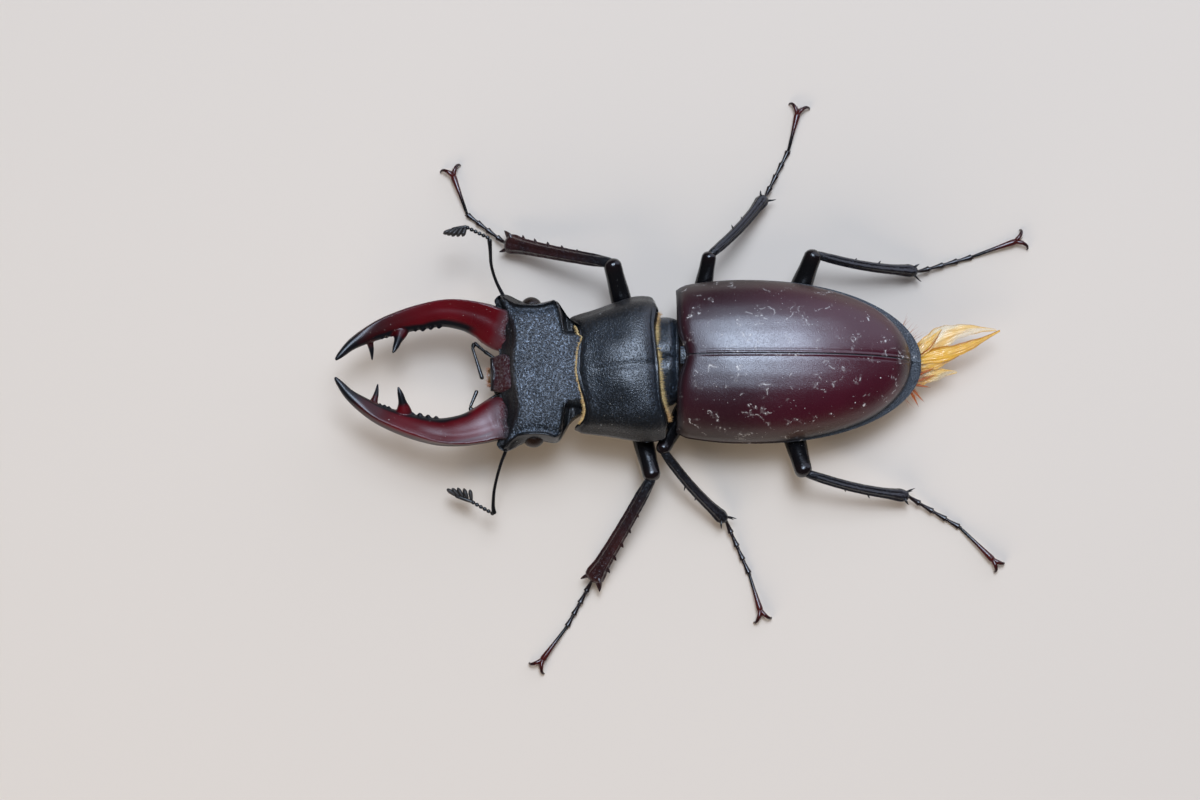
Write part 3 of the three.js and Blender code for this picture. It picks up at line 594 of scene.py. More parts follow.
# %% The start of every finish
class Finish(Nodes):
    """A new material whose nodes read the object's own coordinates, with its steady values set on
    the shader's own sockets."""

    def __init__(self, name, roughness, coat=0.0, coat_rough=0.1, specular=0.5):
        self.material = bpy.data.materials.new(name)
        self.material.use_nodes = True
        super().__init__(self.material.node_tree)
        self.shader = self.tree.nodes["Principled BSDF"].inputs
        self.vector = self.add("ShaderNodeTexCoord").outputs["Object"]
        self.give("Roughness", roughness)
        self.give("Coat Weight", coat)
        self.give("Coat Roughness", coat_rough)
        self.give("Specular IOR Level", specular)
        print("finish:", name)

    def give(self, title, value):
        """Feeds one of the shader's sockets."""
        self.feed(self.shader[title], value)

    def mark(self, title):
        """Reads a mark of the piece."""
        return self.add("ShaderNodeAttribute", attribute_name=title).outputs["Fac"]

    def clouds(self, per_metre, detail=3.0):
        """Noise over the piece, with so many waves to the metre."""
        return self.noise(self.vector, per_metre, detail)

    def use(self, group, **values):
        """A group with its own numbers. A word's underscore stands for a space."""
        node = self.add("ShaderNodeGroup", node_tree=group.tree)
        self.feed(node.inputs["Vector"], self.vector)
        for key, value in values.items():
            node.inputs[key.replace("_", " ")].default_value = value
        return node.outputs

    def relief(self, height, depth):
        """Feeds a height from 0 to 1 to the shader's Normal, as relief so many mm deep."""
        inputs = {"Strength": 1.0, "Distance": depth * MM, "Height": height}
        self.give("Normal", self.add("ShaderNodeBump", inputs).outputs["Normal"])

    def dress(self, colour, gloss, dirt, speck, scratched=0.0, pale=(0.42, 0.41, 0.38)):
        """Lays dust and scratches over a colour and a roughness, and feeds both to the shader."""
        mask = self.math("MAXIMUM", self.use(dust, Spacing=0.9, Size=speck, Cover=dirt)["Mask"],
                         self.use(dust, Spacing=0.3, Size=speck / 2, Cover=dirt)["Mask"])
        if scratched:
            lines = self.use(scratch, Length=1.7, Width=0.007, Cover=scratched)["Mask"]
            mask = self.math("MAXIMUM", mask, lines)
        self.give("Base Color", self.blend(mask, colour, pale))
        self.give("Roughness", self.math("MULTIPLY_ADD", mask, 0.35, gloss, clamp=True))


# %% [markdown]
# ### Black armour
# The head and pronotum are black with a close leathery grain, like fine sandpaper under varnish.
# Pale blue sparks are painted glints: lighter colour laid on the grain in place of the sky's
# reflection. Edges and beads are smooth, so a mark called `smooth` turns the grain down there.
# The mark `shade` is painted shade: it puts out the painted glints at the sides and darkens the
# colour there, and `warm` lets a little brown through.

# %% Armour
armour = f = Finish("black_armour", 0.4, specular=0.62)
skin_grain = f.use(grain, Pit_size=0.19, Grain_size=0.07)
clouds = f.clouds(420.0)
keep = f.rest(f.mark("smooth"), clamp=True)
colour = f.blend(clouds, (0.0020, 0.0028, 0.0040), (0.0060, 0.0085, 0.0120))
colour = f.blend(f.mark("warm"), colour, (0.016, 0.009, 0.005))
# painted glints: pale blue painted highlights, fewer where smooth and under painted shade
painted_glints = f.times(f.times(skin_grain["Painted glints"], keep), f.scale(f.mark("shade"), -0.6, 1.0))
painted_glints = f.times(painted_glints, f.step(f.clouds(620.0, 2.0), 0.36, 0.64, 0.55, 1.0))
colour = f.blend(painted_glints, colour, (0.26, 0.32, 0.41))
# painted shade: the shade mark evens the colour to near black
colour = f.blend(f.mark("shade"), colour, (0.0035, 0.0035, 0.0040))
gloss = f.scale(keep, 0.30, f.scale(clouds, 0.10, 0.15))
gloss = f.scale(f.times(skin_grain["Painted glints"], keep), -0.30, gloss)
f.dress(colour, gloss, dirt=0.40, speck=0.11)
f.relief(f.times(skin_grain["Height"], keep), 0.075)

# %% [markdown]
# ### Wing cases
# Maroon brown, nearly black along the seam and the front, with a satin polish. The grain is so
# fine that it only softens the reflection. A flattened rim round the tail is dull blue-grey, with
# painted glints on it: pale blue-grey specks that stand in for the sky's reflection.

# %% Wing case finish
case_finish = f = Finish("wing_case_shell", 0.3, coat=0.2, coat_rough=0.18, specular=0.68)
skin_grain = f.use(grain, Pit_size=0.12, Grain_size=0.06)
clouds = f.clouds(130.0)
colour = f.blend(clouds, (0.030, 0.0015, 0.0066), (0.060, 0.0020, 0.0105))
colour = f.blend(f.mark("warm"), colour, (0.042, 0.015, 0.006))
colour = f.blend(f.mark("dark"), colour, (0.0055, 0.0045, 0.0060))
colour = f.blend(f.mark("band"), colour, (0.009, 0.013, 0.019))
# painted glints: pale specks on the flat rim stand in for reflections
colour = f.blend(f.times(skin_grain["Painted glints"], f.mark("band")), colour, (0.085, 0.10, 0.125))
gloss = f.scale(f.mark("band"), 0.10, f.scale(clouds, 0.10, 0.27))
gloss = f.scale(f.mark("warm"), 0.25, gloss)
f.dress(colour, gloss, dirt=0.46, speck=0.12, scratched=0.49, pale=(0.50, 0.46, 0.43))
f.relief(f.times(skin_grain["Height"], f.scale(f.mark("band"), 1.9, 0.45)), 0.030)

# %% [markdown]
# ### Jaws
# The jaws are the beetle's pride: deep wine red horn with a high polish, black on the biting
# edge, the teeth and the tips, and rough and black where they hinge on the head. Grey dust lies
# at the root, a pale line along the outer ridge is a painted highlight, and painted glints fleck
# the rough hinge.

# %% Jaw finish
horn = f = Finish("jaw_horn", 0.2, specular=0.38)
skin_grain = f.use(grain, Pit_size=0.22, Grain_size=0.09)
clouds = f.clouds(240.0)
colour = f.blend(clouds, (0.042, 0.0004, 0.0016), (0.115, 0.0009, 0.0055))
colour = f.blend(f.mark("outer"), colour, (0.018, 0.0018, 0.0022))
# grey dust at the root, and a painted highlight along the outer ridge
colour = f.blend(f.mark("dust_and_ridge_highlight"), colour, (0.055, 0.050, 0.055))
colour = f.blend(f.mark("black"), colour, (0.0040, 0.0040, 0.0055))
# painted glints: pale specks on the rough hinge
colour = f.blend(f.times(skin_grain["Painted glints"], f.mark("rough")), colour, (0.13, 0.115, 0.12))
gloss = f.scale(f.mark("rough"), 0.20, f.scale(clouds, 0.14, 0.23))
f.dress(colour, gloss, dirt=0.55, speck=0.085, pale=(0.55, 0.46, 0.40))
f.relief(f.times(skin_grain["Height"], f.scale(f.mark("rough"), 5.0, 0.30)), 0.014)

# %% [markdown]
# ### Legs, shins and feelers
# The thighs are smooth and nearly black. The shins are ridged and grained, and red-brown light
# shows through their thinner shell. Bluish painted glints on their grain are painted highlights.
# Feet and claws are dark with a red glow at the last joint.
# The leaves of the feelers are covered with dull grey felt.

# %% Leg finishes
leg_finish = f = Finish("leg_shell", 0.25, coat=0.1, coat_rough=0.1, specular=0.45)
skin_grain = f.use(grain, Pit_size=0.34, Grain_size=0.1)
colour = f.blend(f.mark("red"), (0.0032, 0.0030, 0.0036), (0.050, 0.0060, 0.0050))
f.dress(colour, f.scale(skin_grain["Pits"], 0.08, 0.14), dirt=0.22, speck=0.08)
f.relief(skin_grain["Height"], 0.010)

shin_finish = f = Finish("shin_shell", 0.3, coat=0.1, coat_rough=0.15, specular=0.6)
skin_grain = f.use(grain, Pit_size=0.24, Grain_size=0.08)
clouds = f.clouds(500.0, 2.0)
colour = f.blend(clouds, (0.0030, 0.0030, 0.0040), (0.0070, 0.0060, 0.0075))
# painted glints: bluish painted highlights on the shin's grain
colour = f.blend(skin_grain["Painted glints"], colour, (0.022, 0.027, 0.034))
colour = f.blend(f.times(f.mark("red"), clouds), colour, (0.042, 0.0070, 0.0050))
f.dress(colour, f.scale(clouds, 0.18, 0.14), dirt=0.25, speck=0.07)
f.relief(skin_grain["Height"], 0.028)

feeler_finish = f = Finish("feeler_shell", 0.3, coat=0.3, coat_rough=0.15)
skin_grain = f.use(grain, Pit_size=0.14, Grain_size=0.05)
colour = f.blend(f.mark("felt"), (0.0035, 0.0032, 0.0036), (0.022, 0.018, 0.016))
f.dress(colour, f.scale(f.mark("felt"), 0.35, 0.24), dirt=0.2, speck=0.06)
f.relief(skin_grain["Height"], 0.010)

# %% [markdown]
# ### Eyes, underside, bristles and wing skin
# An eye is a dark dome of thousands of tiny lenses. The belly is glossier than the back. The
# bristles are golden, darker at some roots than others. The wing skin is amber and lets light
# through, with brown veins.

# %% The other finishes
eye_finish = f = Finish("compound_eye", 0.2, coat=0.1, coat_rough=0.05, specular=0.35)
lens = f.cells(f.vector_math("SCALE", f.vector, {"Scale": 1 / MM}), 16.0)["Distance"]
f.give("Base Color", f.blend(lens, (0.019, 0.008, 0.004), (0.006, 0.003, 0.002)))
f.give("Roughness", f.step(lens, 0.3, 0.9, 0.22, 0.4))
f.relief(f.rest(lens), 0.012)

belly = f = Finish("belly_shell", 0.3, coat=0.4, coat_rough=0.12)
skin_grain = f.use(grain, Pit_size=0.32, Grain_size=0.12)
clouds = f.clouds(300.0)
colour = f.blend(clouds, (0.0055, 0.0050, 0.0055), (0.016, 0.0090, 0.0070))
colour = f.blend(f.mark("warm"), colour, (0.055, 0.020, 0.009))
f.dress(colour, f.scale(clouds, 0.15, 0.18), dirt=0.2, speck=0.08)
f.relief(skin_grain["Height"], 0.022)

skin = f = Finish("joint_skin", 0.5)
folds = f.clouds(2600.0)
f.give("Base Color", f.blend(folds, (0.050, 0.022, 0.006), (0.20, 0.095, 0.022)))
f.give("Roughness", f.step(folds, 0.3, 0.7, 0.30, 0.60))
f.relief(folds, 0.05)

bristle = f = Finish("golden_bristles", 0.4, specular=0.6)
strands = f.clouds(3200.0, 1.0)
colour = f.blend(strands, (0.42, 0.22, 0.050), (0.92, 0.74, 0.36))
f.give("Base Color", f.blend(f.mark("rust"), colour, (0.42, 0.085, 0.010)))
f.give("Roughness", f.step(strands, 0.3, 0.7, 0.35, 0.5))

amber = f = Finish("wing_skin", 0.22, coat=0.2, coat_rough=0.1)
wrinkles = f.clouds(1100.0)
colour = f.blend(wrinkles, (0.80, 0.38, 0.025), (0.95, 0.60, 0.10))
colour = f.blend(f.mark("pale"), colour, (0.96, 0.76, 0.38))
f.give("Base Color", f.blend(f.mark("vein"), colour, (0.30, 0.060, 0.004)))
f.give("Alpha", f.math("SUBTRACT", f.scale(f.mark("vein"), 0.6, 0.66),
                       f.times(f.mark("pale"), 0.52), clamp=True))
f.give("Roughness", f.step(wrinkles, 0.3, 0.7, 0.16, 0.34))
f.relief(wrinkles, 0.03)

# %% [markdown]
# ## Wing cases
# The two wing cases are the hardened fore wings. Seen from above, their outline is nearly
# straight at the front and round at the tail. Across, each is a quarter of a squarish oval. Near
# the tail the dome ends a little inside the outline, and a thin flat rim goes on to the edge. The
# seam has a fine raised border on both sides, and the front edge has one too.

# %% The shape of the wing cases
CASE = {"half": 9.2, "widest": 0.28, "edge": 6.3, "crown": 5.5, "notch": 0.9, "top": 0.36,
        "thick": 0.32}
RIM = [[0, 0.10], [0.4, 0.15], [0.56, 0.24], [0.77, 0.44], [0.92, 0.78], [1, 1.0]]
DOME_END = 1 - 1.2 / CASE_LENGTH
DOME_SHARE, SQUARE = 0.86, 0.88


def case_half(t):
    """Half the width at t from 0 at the front to 1 at the tail: rising a little to the widest
    place, then half * sqrt(1 - r^2.2), with r from 0 there to 1 at the tail."""
    shoulder = 1 - 0.05 * np.clip(1 - t / 0.05, 0, 1) ** 2
    front = shoulder * (1 - 0.09 * np.clip(1 - t / CASE["widest"], 0, 1) ** 2)
    r = np.clip((t - CASE["widest"]) / (1 - CASE["widest"]), 0, 1)
    return CASE["half"] * np.where(t < CASE["widest"], front, np.sqrt(1 - r**2.2))


def case_crown(t, end=1.0):
    """How high the crown stands over the edge: rolled down at the front, then falling to nothing at
    the end as sqrt(1 - r^2.5)."""
    roll = 0.86 + 0.14 * np.sqrt(1 - np.clip(1 - t / 0.06, 0, 1) ** 2)
    front = roll * (1 - 0.16 * np.clip(1 - t / CASE["top"], 0, 1) ** 2)
    r = np.clip((t - CASE["top"]) / (end - CASE["top"]), 0, 1)
    return CASE["crown"] * np.where(t < CASE["top"], front, np.sqrt(1 - r**2.5))


def case_edge(t):
    """Height of the side edge, which sinks towards the tail."""
    return CASE["edge"] - 0.9 * t * t


def case_grid():
    """Rows along the case, crowded at both ends of the dome, with a few more over the flat rim at
    the tail, and columns from the seam to the dome's foot and on over the rim."""
    rim = 1 - (1 - np.linspace(0, 1, 16)[1:]) ** 1.5
    t = np.append(DOME_END * crowded(168, 0.86), DOME_END + (LAST_ROW - DOME_END) * rim)
    over_rim = DOME_SHARE + (1 - DOME_SHARE) * np.linspace(0, 1, 12)[1:]
    return t[:, None], np.append(DOME_SHARE * crowded(104, 0.86), over_rim)[None]


def case_marks(t, wide, above):
    """Where the case is a flat dull band, where it is nearly black and where brown shows, from the
    share along, the distance from the seam and the height above the edge."""
    down = t * CASE_LENGTH
    at_end = fade(t, DOME_END - 0.004, DOME_END + 0.008)
    band = fade(t, 0.42, 0.70) * (1 - fade(above, 0.30, 0.95) * (1 - at_end))
    at_front, at_seam = 0.9 * (1 - fade(down, 0.2, 1.6)), 0.95 * (1 - fade(wide, 0.03, 0.10))
    low_down, at_tail = (1 - fade(above, 0.5, 2.0)) * fade(t, 0.2, 0.5), 0.85 * fade(t, 0.86, 0.97)
    fore_half = 0.55 * (1 - fade(t, 0.15, 0.65))
    dark = np.maximum.reduce(np.broadcast_arrays(at_front, at_seam, low_down, at_tail, fore_half))
    warm = (1 - fade(above, 1.5, 4.2)) * (1 - fade(t, 0.55, 0.9))
    return {"band": band, "dark": dark, "warm": warm}


def wing_case(side):
    """Outer and inner grids of a wing case, with its marks. Across, the dome is wide * sin^0.88 and
    crown * cos^0.88 of an angle from 0 at the seam to 90 degrees at its foot. The foot draws in to
    the seam where the dome ends, and the rim outside it is flat."""
    t, v = case_grid()
    angle = np.clip(v / DOME_SHARE, 0, 1) * np.pi / 2
    along_rim = np.clip((v - DOME_SHARE) / (1 - DOME_SHARE), 0, 1)
    half, rim = case_half(t), curve(RIM, t)
    r = np.clip((t - CASE["widest"]) / (DOME_END - CASE["widest"]), 0, 1)
    oval = CASE["half"] * np.sqrt(1 - r**2.2)
    foot = np.maximum(0.05, np.minimum(half - np.minimum(rim, 0.3 * half), oval))
    wide = foot * np.sin(angle) ** SQUARE + (half - foot) * along_rim
    dome = case_crown(t, DOME_END) * np.clip(np.cos(angle), 0, 1) ** SQUARE
    high = dome + 0.30 * rim * (1 - along_rim)
    down, top = t * CASE_LENGTH, np.clip(np.cos(angle), 0, 1)
    notch = CASE["notch"] * np.exp(-((wide / 2) ** 2)) * (1 - t) ** 8
    seam_border = 0.05 * bump(wide, 0.14, 0.09) - 0.055 * bump(wide, 0.32, 0.09)
    border = (seam_border * fade(down, 1.6, 3.4)
              + 0.055 * bump(down, 0.16, 0.13) - 0.06 * bump(down, 0.46, 0.16))
    ribs = 0.011 * np.sin(wide * 3.6 + 0.5 * np.sin(down * 0.4)) * fade(wide, 1.0, 2.5)
    high = high + (border + ribs) * np.sqrt(top)
    outer = grid_of(side * (SEAM + wide), notch + down, case_edge(t) + high)
    outer[..., 2] += 0.05 * ripple(outer, 5.0, 3) * top
    for _ in range(6):
        outer[1:-1, 1:-1] += 0.25 * (outer[2:, 1:-1] + outer[:-2, 1:-1] + outer[1:-1, 2:]
                                     + outer[1:-1, :-2] - 4 * outer[1:-1, 1:-1])
    inner = outer - grid_of(side * 0.3 * np.sin(angle), 0.25 * t**8, CASE["thick"])
    marks = case_marks(t, wide, outer[..., 2] - case_edge(t))
    return outer, inner, {name: np.tile(values.ravel(), 2) for name, values in marks.items()}


for name, side in SIDES.items():
    outer, inner, marks = wing_case(side)
    piece("wing_case_" + name, [shell(outer, inner)], case_finish, "wing_case",
          ["elytron_" + name], **marks)

# %% [markdown]
# ## Scutellum, waist and trunk
# Between the shoulders of the wing cases sits the scutellum, a small shiny heart. In front of it
# the waist shows as a glossy black saddle with a groove along its middle. Under the wing cases
# the chest and the abdomen make one long tub, and the belly has five overlapping rings.

# %% Scutellum and waist
SCUTELLUM = {"y": 0.40, "length": 1.95, "z": 10.02, "thick": 0.45}
WAIST = {"aside": 0.35, "y": -3.2, "length": 3.39, "z": 6.5, "half": 5.0, "above": 3.4,
         "below": 3.3, "square": 0.8}


def scutellum_grid():
    """A tongue: half width cos(1.4 s)^0.8, thinning backwards, with a raised border and a low
    crown."""
    s, angle = crowded(50, 0.7)[:, None], ring_angles(64)
    wide = np.clip(np.cos(1.4 * s), 0.02, 1) ** 0.8 * np.cos(angle)
    border = 0.05 * bump(np.abs(np.cos(angle)), 0.93, 0.10) + 0.10 * bump(s, 0.86, 0.14)
    high = SCUTELLUM["thick"] * (1 - 0.5 * s) * np.sin(angle) + border * (np.sin(angle) > 0)
    return grid_of(wide, SCUTELLUM["y"] + SCUTELLUM["length"] * s, SCUTELLUM["z"] + 0.5 * s + high)


def waist_grid():
    """A saddle: an oval 10 mm wide and 6.7 mm high with square shoulders, pinched at both ends,
    with a groove along the middle of the top and two low swellings beside it."""
    s, angle = crowded(70, 0.5)[:, None], ring_angles(160)
    bulge = 1 - 0.1 * (2 * s - 1) ** 2
    sizes = [WAIST[key] * bulge for key in ("half", "above", "below")]
    wide, high = squarish(angle, *sizes, WAIST["square"])
    y = WAIST["y"] + WAIST["length"] * s
    shape = (0.20 * bump(np.abs(wide), 1.3, 0.9) - 0.20 * bump(wide, 0.0, 0.16)
             - 0.30 * bump(y, -0.05, 0.25) + 0.10 * bump(y, -0.85, 0.45))
    high = high + shape * np.clip(np.sin(angle), 0, 1)
    return grid_of(WAIST["aside"] * (1 - s) + wide, y, WAIST["z"] + high)


piece("scutellum_shield", [tube(scutellum_grid())], armour, "armour", ["scutellum"], smooth=0.55)
piece("waist_saddle", [tube(waist_grid())], armour, "armour", ["waist"], smooth=0.6)

# %% [markdown]
# ### The trunk
# Both halves of the trunk come from one function, so they line up. The chest has a groove along
# its middle between the hips, and a cross groove in front of the hind hips. Each ring of the
# belly is a plate whose hind edge stands over the next one.

# %% Chest and abdomen
TRUNK = {"front": 0.25, "split": 11.2, "gap": 0.06, "rear": 26.7, "depth": 3.5, "inset": 1.0,
         "below": 0.15, "rings": 5, "sides": 180}
TRUNK_DEPTH = [[0, 0.98], [0.3, 1.12], [0.55, 1.06], [0.8, 0.86], [0.94, 0.56], [0.98, 0.3]]


def trunk_grid(y):
    """A tub: as wide as the wing cases less 1 mm, with a roof just under them and a round belly
    whose depth follows a curve. Both are squarish ovals to the power 0.88."""
    angle = ring_angles(TRUNK["sides"])
    t = np.clip((y + 0.7) / CASE_LENGTH, 0, 0.985)
    neck = np.sqrt(1 - (1 - np.clip(y / 2, 0, 1)) ** 2)
    wide = np.maximum(0.4, case_half(t) - TRUNK["inset"]) * (0.7 + 0.3 * neck)
    roof = np.maximum(0.05, case_crown(t) - 1.15) * (0.85 + 0.07 * neck)
    depth = TRUNK["depth"] * curve(TRUNK_DEPTH, t)
    wide, high = squarish(angle, wide, roof, depth, SQUARE)
    return grid_of(wide, y, case_edge(t) - TRUNK["below"] + high)


under = np.clip(-np.sin(ring_angles(TRUNK["sides"])), 0, 1)
y = (TRUNK["front"] + (TRUNK["split"] - TRUNK["front"]) * crowded(90, 0.6))[:, None]
chest = trunk_grid(y)
chest[..., 2] += under * (0.35 * bump(chest[..., 0], 0, 0.25) + 0.30 * bump(y, 8.6, 0.3)
                          + 0.5 * bump(chest[..., 0], 0, 1.6) * bump(y, 10.2, 1.0))
piece("chest", [tube(chest)], belly, "armour", ["metathorax"])
s = np.linspace(0, 1, 300)[:, None]
start = TRUNK["split"] + TRUNK["gap"]
rings = trunk_grid(start + (TRUNK["rear"] - start) * s)
along = np.clip(s * TRUNK["rings"], 0, TRUNK["rings"] - 1e-6) % 1
lip_edge = 0.10 * fade(along, 0.72, 0.86) * (1 - fade(along, 0.965, 1.0))
lip_edge = lip_edge - 0.34 * fade(along, 0.955, 1.0)
rings[..., 2] -= under * (lip_edge + 0.06 * (along - 0.5))
rings[..., 0] *= 1 + 0.012 * under * np.sign(lip_edge)
piece("belly_rings", [tube(rings)], belly, "armour", ["abdomen"],
      warm=on_tube(fade(along, 0.9, 1.0) * (under + 0.2)))

# %% [markdown]
# ## Pronotum
# The pronotum is the broad shield behind the head, turned a few degrees here because the beetle
# looks round. It is a closed oval whose width and crown follow curves. At the front and back it
# rolls under into a collar, so that the neck and the waist come out of it. A fine bead runs along
# its edges, a furrow along its middle, and a shallow dip lies on each side.

# %% The pronotum's shape
PRONOTUM = {"x": 1.25, "y": -6.4, "turn": 5.0, "length": 9.2, "edge": 6.6, "lip": 1.1,
            "square": 0.84}
PRONOTUM_HALF = [[0, 6.1], [0.08, 6.5], [0.3, 7.0], [0.55, 7.65], [0.76, 8.1], [0.9, 8.05],
                 [0.97, 7.85], [1, 7.4]]
PRONOTUM_CROWN = [[0, 3.3], [0.12, 3.9], [0.5, 4.7], [0.82, 4.6], [0.95, 4.1], [1, 3.5]]
FRONT_EDGE = [[0, -0.13], [1.2, 0.06], [2.0, 0.20], [3.3, 0.50], [4.3, 0.58], [5.3, 0.25],
              [6.1, -0.75]]
HIND_EDGE = [[0, -0.18], [3.8, -0.17], [5.7, 0.30], [6.9, 0.10]]
ROLLS = [(0.10, -0.05), (0.26, 0.02), (0.42, 0.22), (0.55, 0.7), (0.8, 1.5)]


def collared(grid, centre):
    """Rows added before and after a closed body: its end rows drawn in towards the centre line by
    so many mm and moved inwards along it, which rolls the edge under."""
    def rolled(row, way):
        spokes = row - centre
        reach = np.linalg.norm(spokes[:, [0, 2]], axis=1, keepdims=True)
        rows = [centre + spokes * np.clip(1 - shrink / reach, 0.05, 1) for shrink, _ in ROLLS]
        for new, (_, depth) in zip(rows, ROLLS):
            new[:, 1] = row[:, 1] + way * depth
        return rows

    return np.stack(rolled(grid[0], 1)[::-1] + list(grid) + rolled(grid[-1], -1))


def pronotum_point(s, angle):
    """The pronotum at s from front to back and an angle round it, in its own frame."""
    half, crown = curve(PRONOTUM_HALF, s), curve(PRONOTUM_CROWN, s)
    wide, high = squarish(angle, half, crown, PRONOTUM["lip"], PRONOTUM["square"])
    share = np.abs(wide) / half
    y = (s - 0.5) * PRONOTUM["length"] + curve(FRONT_EDGE, 6.1 * share) * (1 - s) ** 2.5
    y = y + curve(HIND_EDGE, 6.9 * share) * s**6
    top = np.clip(np.sin(angle), 0, 1)
    front, back = s * PRONOTUM["length"], (1 - s) * PRONOTUM["length"]
    shape = (-0.20 * bump(wide - 0.15, 0, 0.30) * fade(s, 0.12, 0.3) * (1 - fade(s, 0.93, 0.99))
             - 0.30 * bump(np.abs(wide), 4.3, 1.5) * bump(y, -0.6, 1.9)
             - 0.12 * bump(np.abs(wide), 1.8, 1.0) * bump(y, -2.6, 1.0)
             + 0.13 * bump(back, 0.15, 0.13) - 0.15 * bump(back, 0.46, 0.17)
             + 0.10 * bump(front, 0.12, 0.12) - 0.12 * bump(front, 0.42, 0.16))
    side_bead = 0.13 * bump(top, 0.10, 0.10) - 0.10 * bump(top, 0.34, 0.12)
    wide = wide + np.sign(np.cos(angle)) * side_bead * (top > 0) * fade(s, 0, 0.06)
    return grid_of(wide, y, PRONOTUM["edge"] + high + shape * top**0.5)


# %% Build the pronotum
s, angle = crowded(150, 0.82)[:, None], ring_angles(260)
top = np.clip(np.sin(angle), 0, 1)
body = pronotum_point(s, angle)
body[..., 2] += 0.06 * ripple(body, 2.6, 5) * top
body = collared(body, np.array([0.0, 0.0, PRONOTUM["edge"] + 0.8]))
spread = np.concatenate([np.zeros(len(ROLLS)), s[:, 0], np.ones(len(ROLLS))])[:, None]
to_edge = np.minimum(spread, 1 - spread) * PRONOTUM["length"]
smooth = np.maximum(np.maximum(1 - fade(to_edge, 0.25, 0.5), 1 - fade(top, 0.10, 0.2)), 0.55)
# painted shade: 0.25 on the top, rising to 0.8 down the sides
shade = 0.25 + 0.55 * (1 - fade(top, 0.55, 0.92)) + 0 * spread
warm = (1 - fade(top, 0.25, 0.62)) * fade(to_edge, 0.2, 0.8)
piece("pronotum_shield", [tube(framed(body, PRONOTUM))], armour, "armour", ["pronotum"],
      smooth=on_tube(smooth, 1, 1), warm=on_tube(warm), shade=on_tube(shade, 1, 1))

# %% [markdown]
# ### Under the pronotum, and the neck
# The prosternum closes the pronotum from below and carries the front hips. The neck is the dark
# brown skin between the head and the pronotum.

# %% Prosternum and neck
PROSTERNUM = {"half": 6.4, "depth": 2.7, "rim": 0.25, "gap": 0.06, "y": -4.0, "length": 7.4}
NECK = {"x": 1.5, "y": -12.6, "z": 7.0, "length": 3.2, "half": 4.3, "above": 2.3, "below": 2.6,
        "square": 0.85, "fold": 0.07}
s, angle = crowded(60, 0.6)[:, None], ring_angles(120)
plate_top, plate_rim = PRONOTUM["edge"] - PRONOTUM["lip"] - PROSTERNUM["gap"], PROSTERNUM["rim"]
half = PROSTERNUM["half"] - 1.2 * (2 * s - 1) ** 2
deep = PROSTERNUM["depth"] * np.sqrt(1 - (1.6 * (s - 0.5)) ** 2)
wide, high = squarish(angle, half, plate_rim + 0.5, deep, 0.7, 0.8)
keel = 0.35 * bump(wide, 0, 0.6) * bump(s, 0.55, 0.3) * np.clip(-np.sin(angle), 0, 1)
plate = grid_of(wide, PROSTERNUM["y"] + PROSTERNUM["length"] * s,
                plate_top - plate_rim + high - keel)
piece("prosternum_plate", [tube(framed(plate, PRONOTUM))], belly, "armour", ["prosternum"])
s, angle = np.linspace(0, 1, 40)[:, None], ring_angles(90)
folds = NECK["fold"] * np.sin(s * 34)
sizes = [NECK[key] + folds for key in ("half", "above", "below")]
wide, high = squarish(angle, *sizes, NECK["square"])
neck = grid_of(NECK["x"] + wide, NECK["y"] + NECK["length"] * s, NECK["z"] + high)
piece("neck_skin", [tube(neck)], skin, "soft_joint", ["neck"])

# %% [markdown]
# ## Head
# A big male's head is a wide, nearly square block that carries the muscles of the jaws. Its top
# is a plateau with a raised edge all round: a ridge across the front, one over each eye, and one
# that turns in behind the hind corners. In front of the plateau a rough slope drops to the jaws.
# Behind the hind ridges the head is smooth and slips under the pronotum.

# %% The head's shape
HEAD = {"x": 1.5, "y": -19.35, "turn": 1.2, "length": 8.3, "side": 7.7, "end": 1.12}
HEAD_HALF = [[0, 7.7], [0.03, 8.4], [0.07, 8.72], [0.12, 8.78], [0.19, 8.55], [0.27, 8.10],
             [0.37, 7.75], [0.55, 7.75], [0.68, 7.95], [0.76, 7.75], [0.84, 6.7], [0.92, 5.7],
             [1, 5.2], [1.12, 4.6]]
HEAD_TOP = [[0, 8.6], [0.08, 9.15], [0.16, 9.75], [0.22, 10.15], [0.35, 10.30], [0.6, 10.35],
            [0.8, 10.35], [0.9, 10.25], [1, 10.05], [1.12, 9.5]]
HEAD_BASE = [[0, 5.3], [0.12, 4.5], [0.5, 3.9], [0.85, 4.1], [1.12, 4.8]]
FRONT_RIDGE = [[-8.4, 0.30], [-7, 0.85], [-5.4, 1.50], [-3.8, 1.80], [-1.5, 1.50], [0.7, 1.45],
               [2.6, 1.85], [4.4, 2.0], [6.4, 1.35], [8.4, 0.45]]
SIDE_RIDGE = [[-0.5, 8.6], [0.4, 8.35], [1.2, 7.75], [1.8, 7.42], [3.4, 7.25], [4.8, 7.35],
              [5.9, 7.66], [6.4, 7.55], [6.9, 7.0], [9, 6.0]]


def from_ridges(x, y):
    """How far a place is behind the front ridge, outside the side ridge and behind the ridge at the
    hind corners, and how much it belongs to a corner rather than to the middle."""
    out = np.abs(x)
    inward = 6.40 + 0.18 * (7.2 - out) - 0.4 * fade(out, 6.8, 7.8)
    return y - curve(FRONT_RIDGE, x), out - curve(SIDE_RIDGE, y), y - inward, fade(out, 3.4, 4.4)


def plateau(x, y):
    """How high the roof stands at x, y, as a share of its middle height: 1 - 0.42 (x/7.4)^3.4
    inside the side ridge, then down to nothing at the outline, nearly as a quarter circle."""
    ridge = curve(SIDE_RIDGE, y)
    inside = 1 - 0.42 * np.clip(np.abs(x) / 7.4, 0, 1.3) ** 3.4
    rim = np.maximum(curve(HEAD_HALF, y / HEAD["length"]), ridge + 0.25)
    beyond = np.clip((np.abs(x) - ridge) / (rim - ridge), 0, 1)
    return inside * (1 - beyond**1.5) ** 0.7


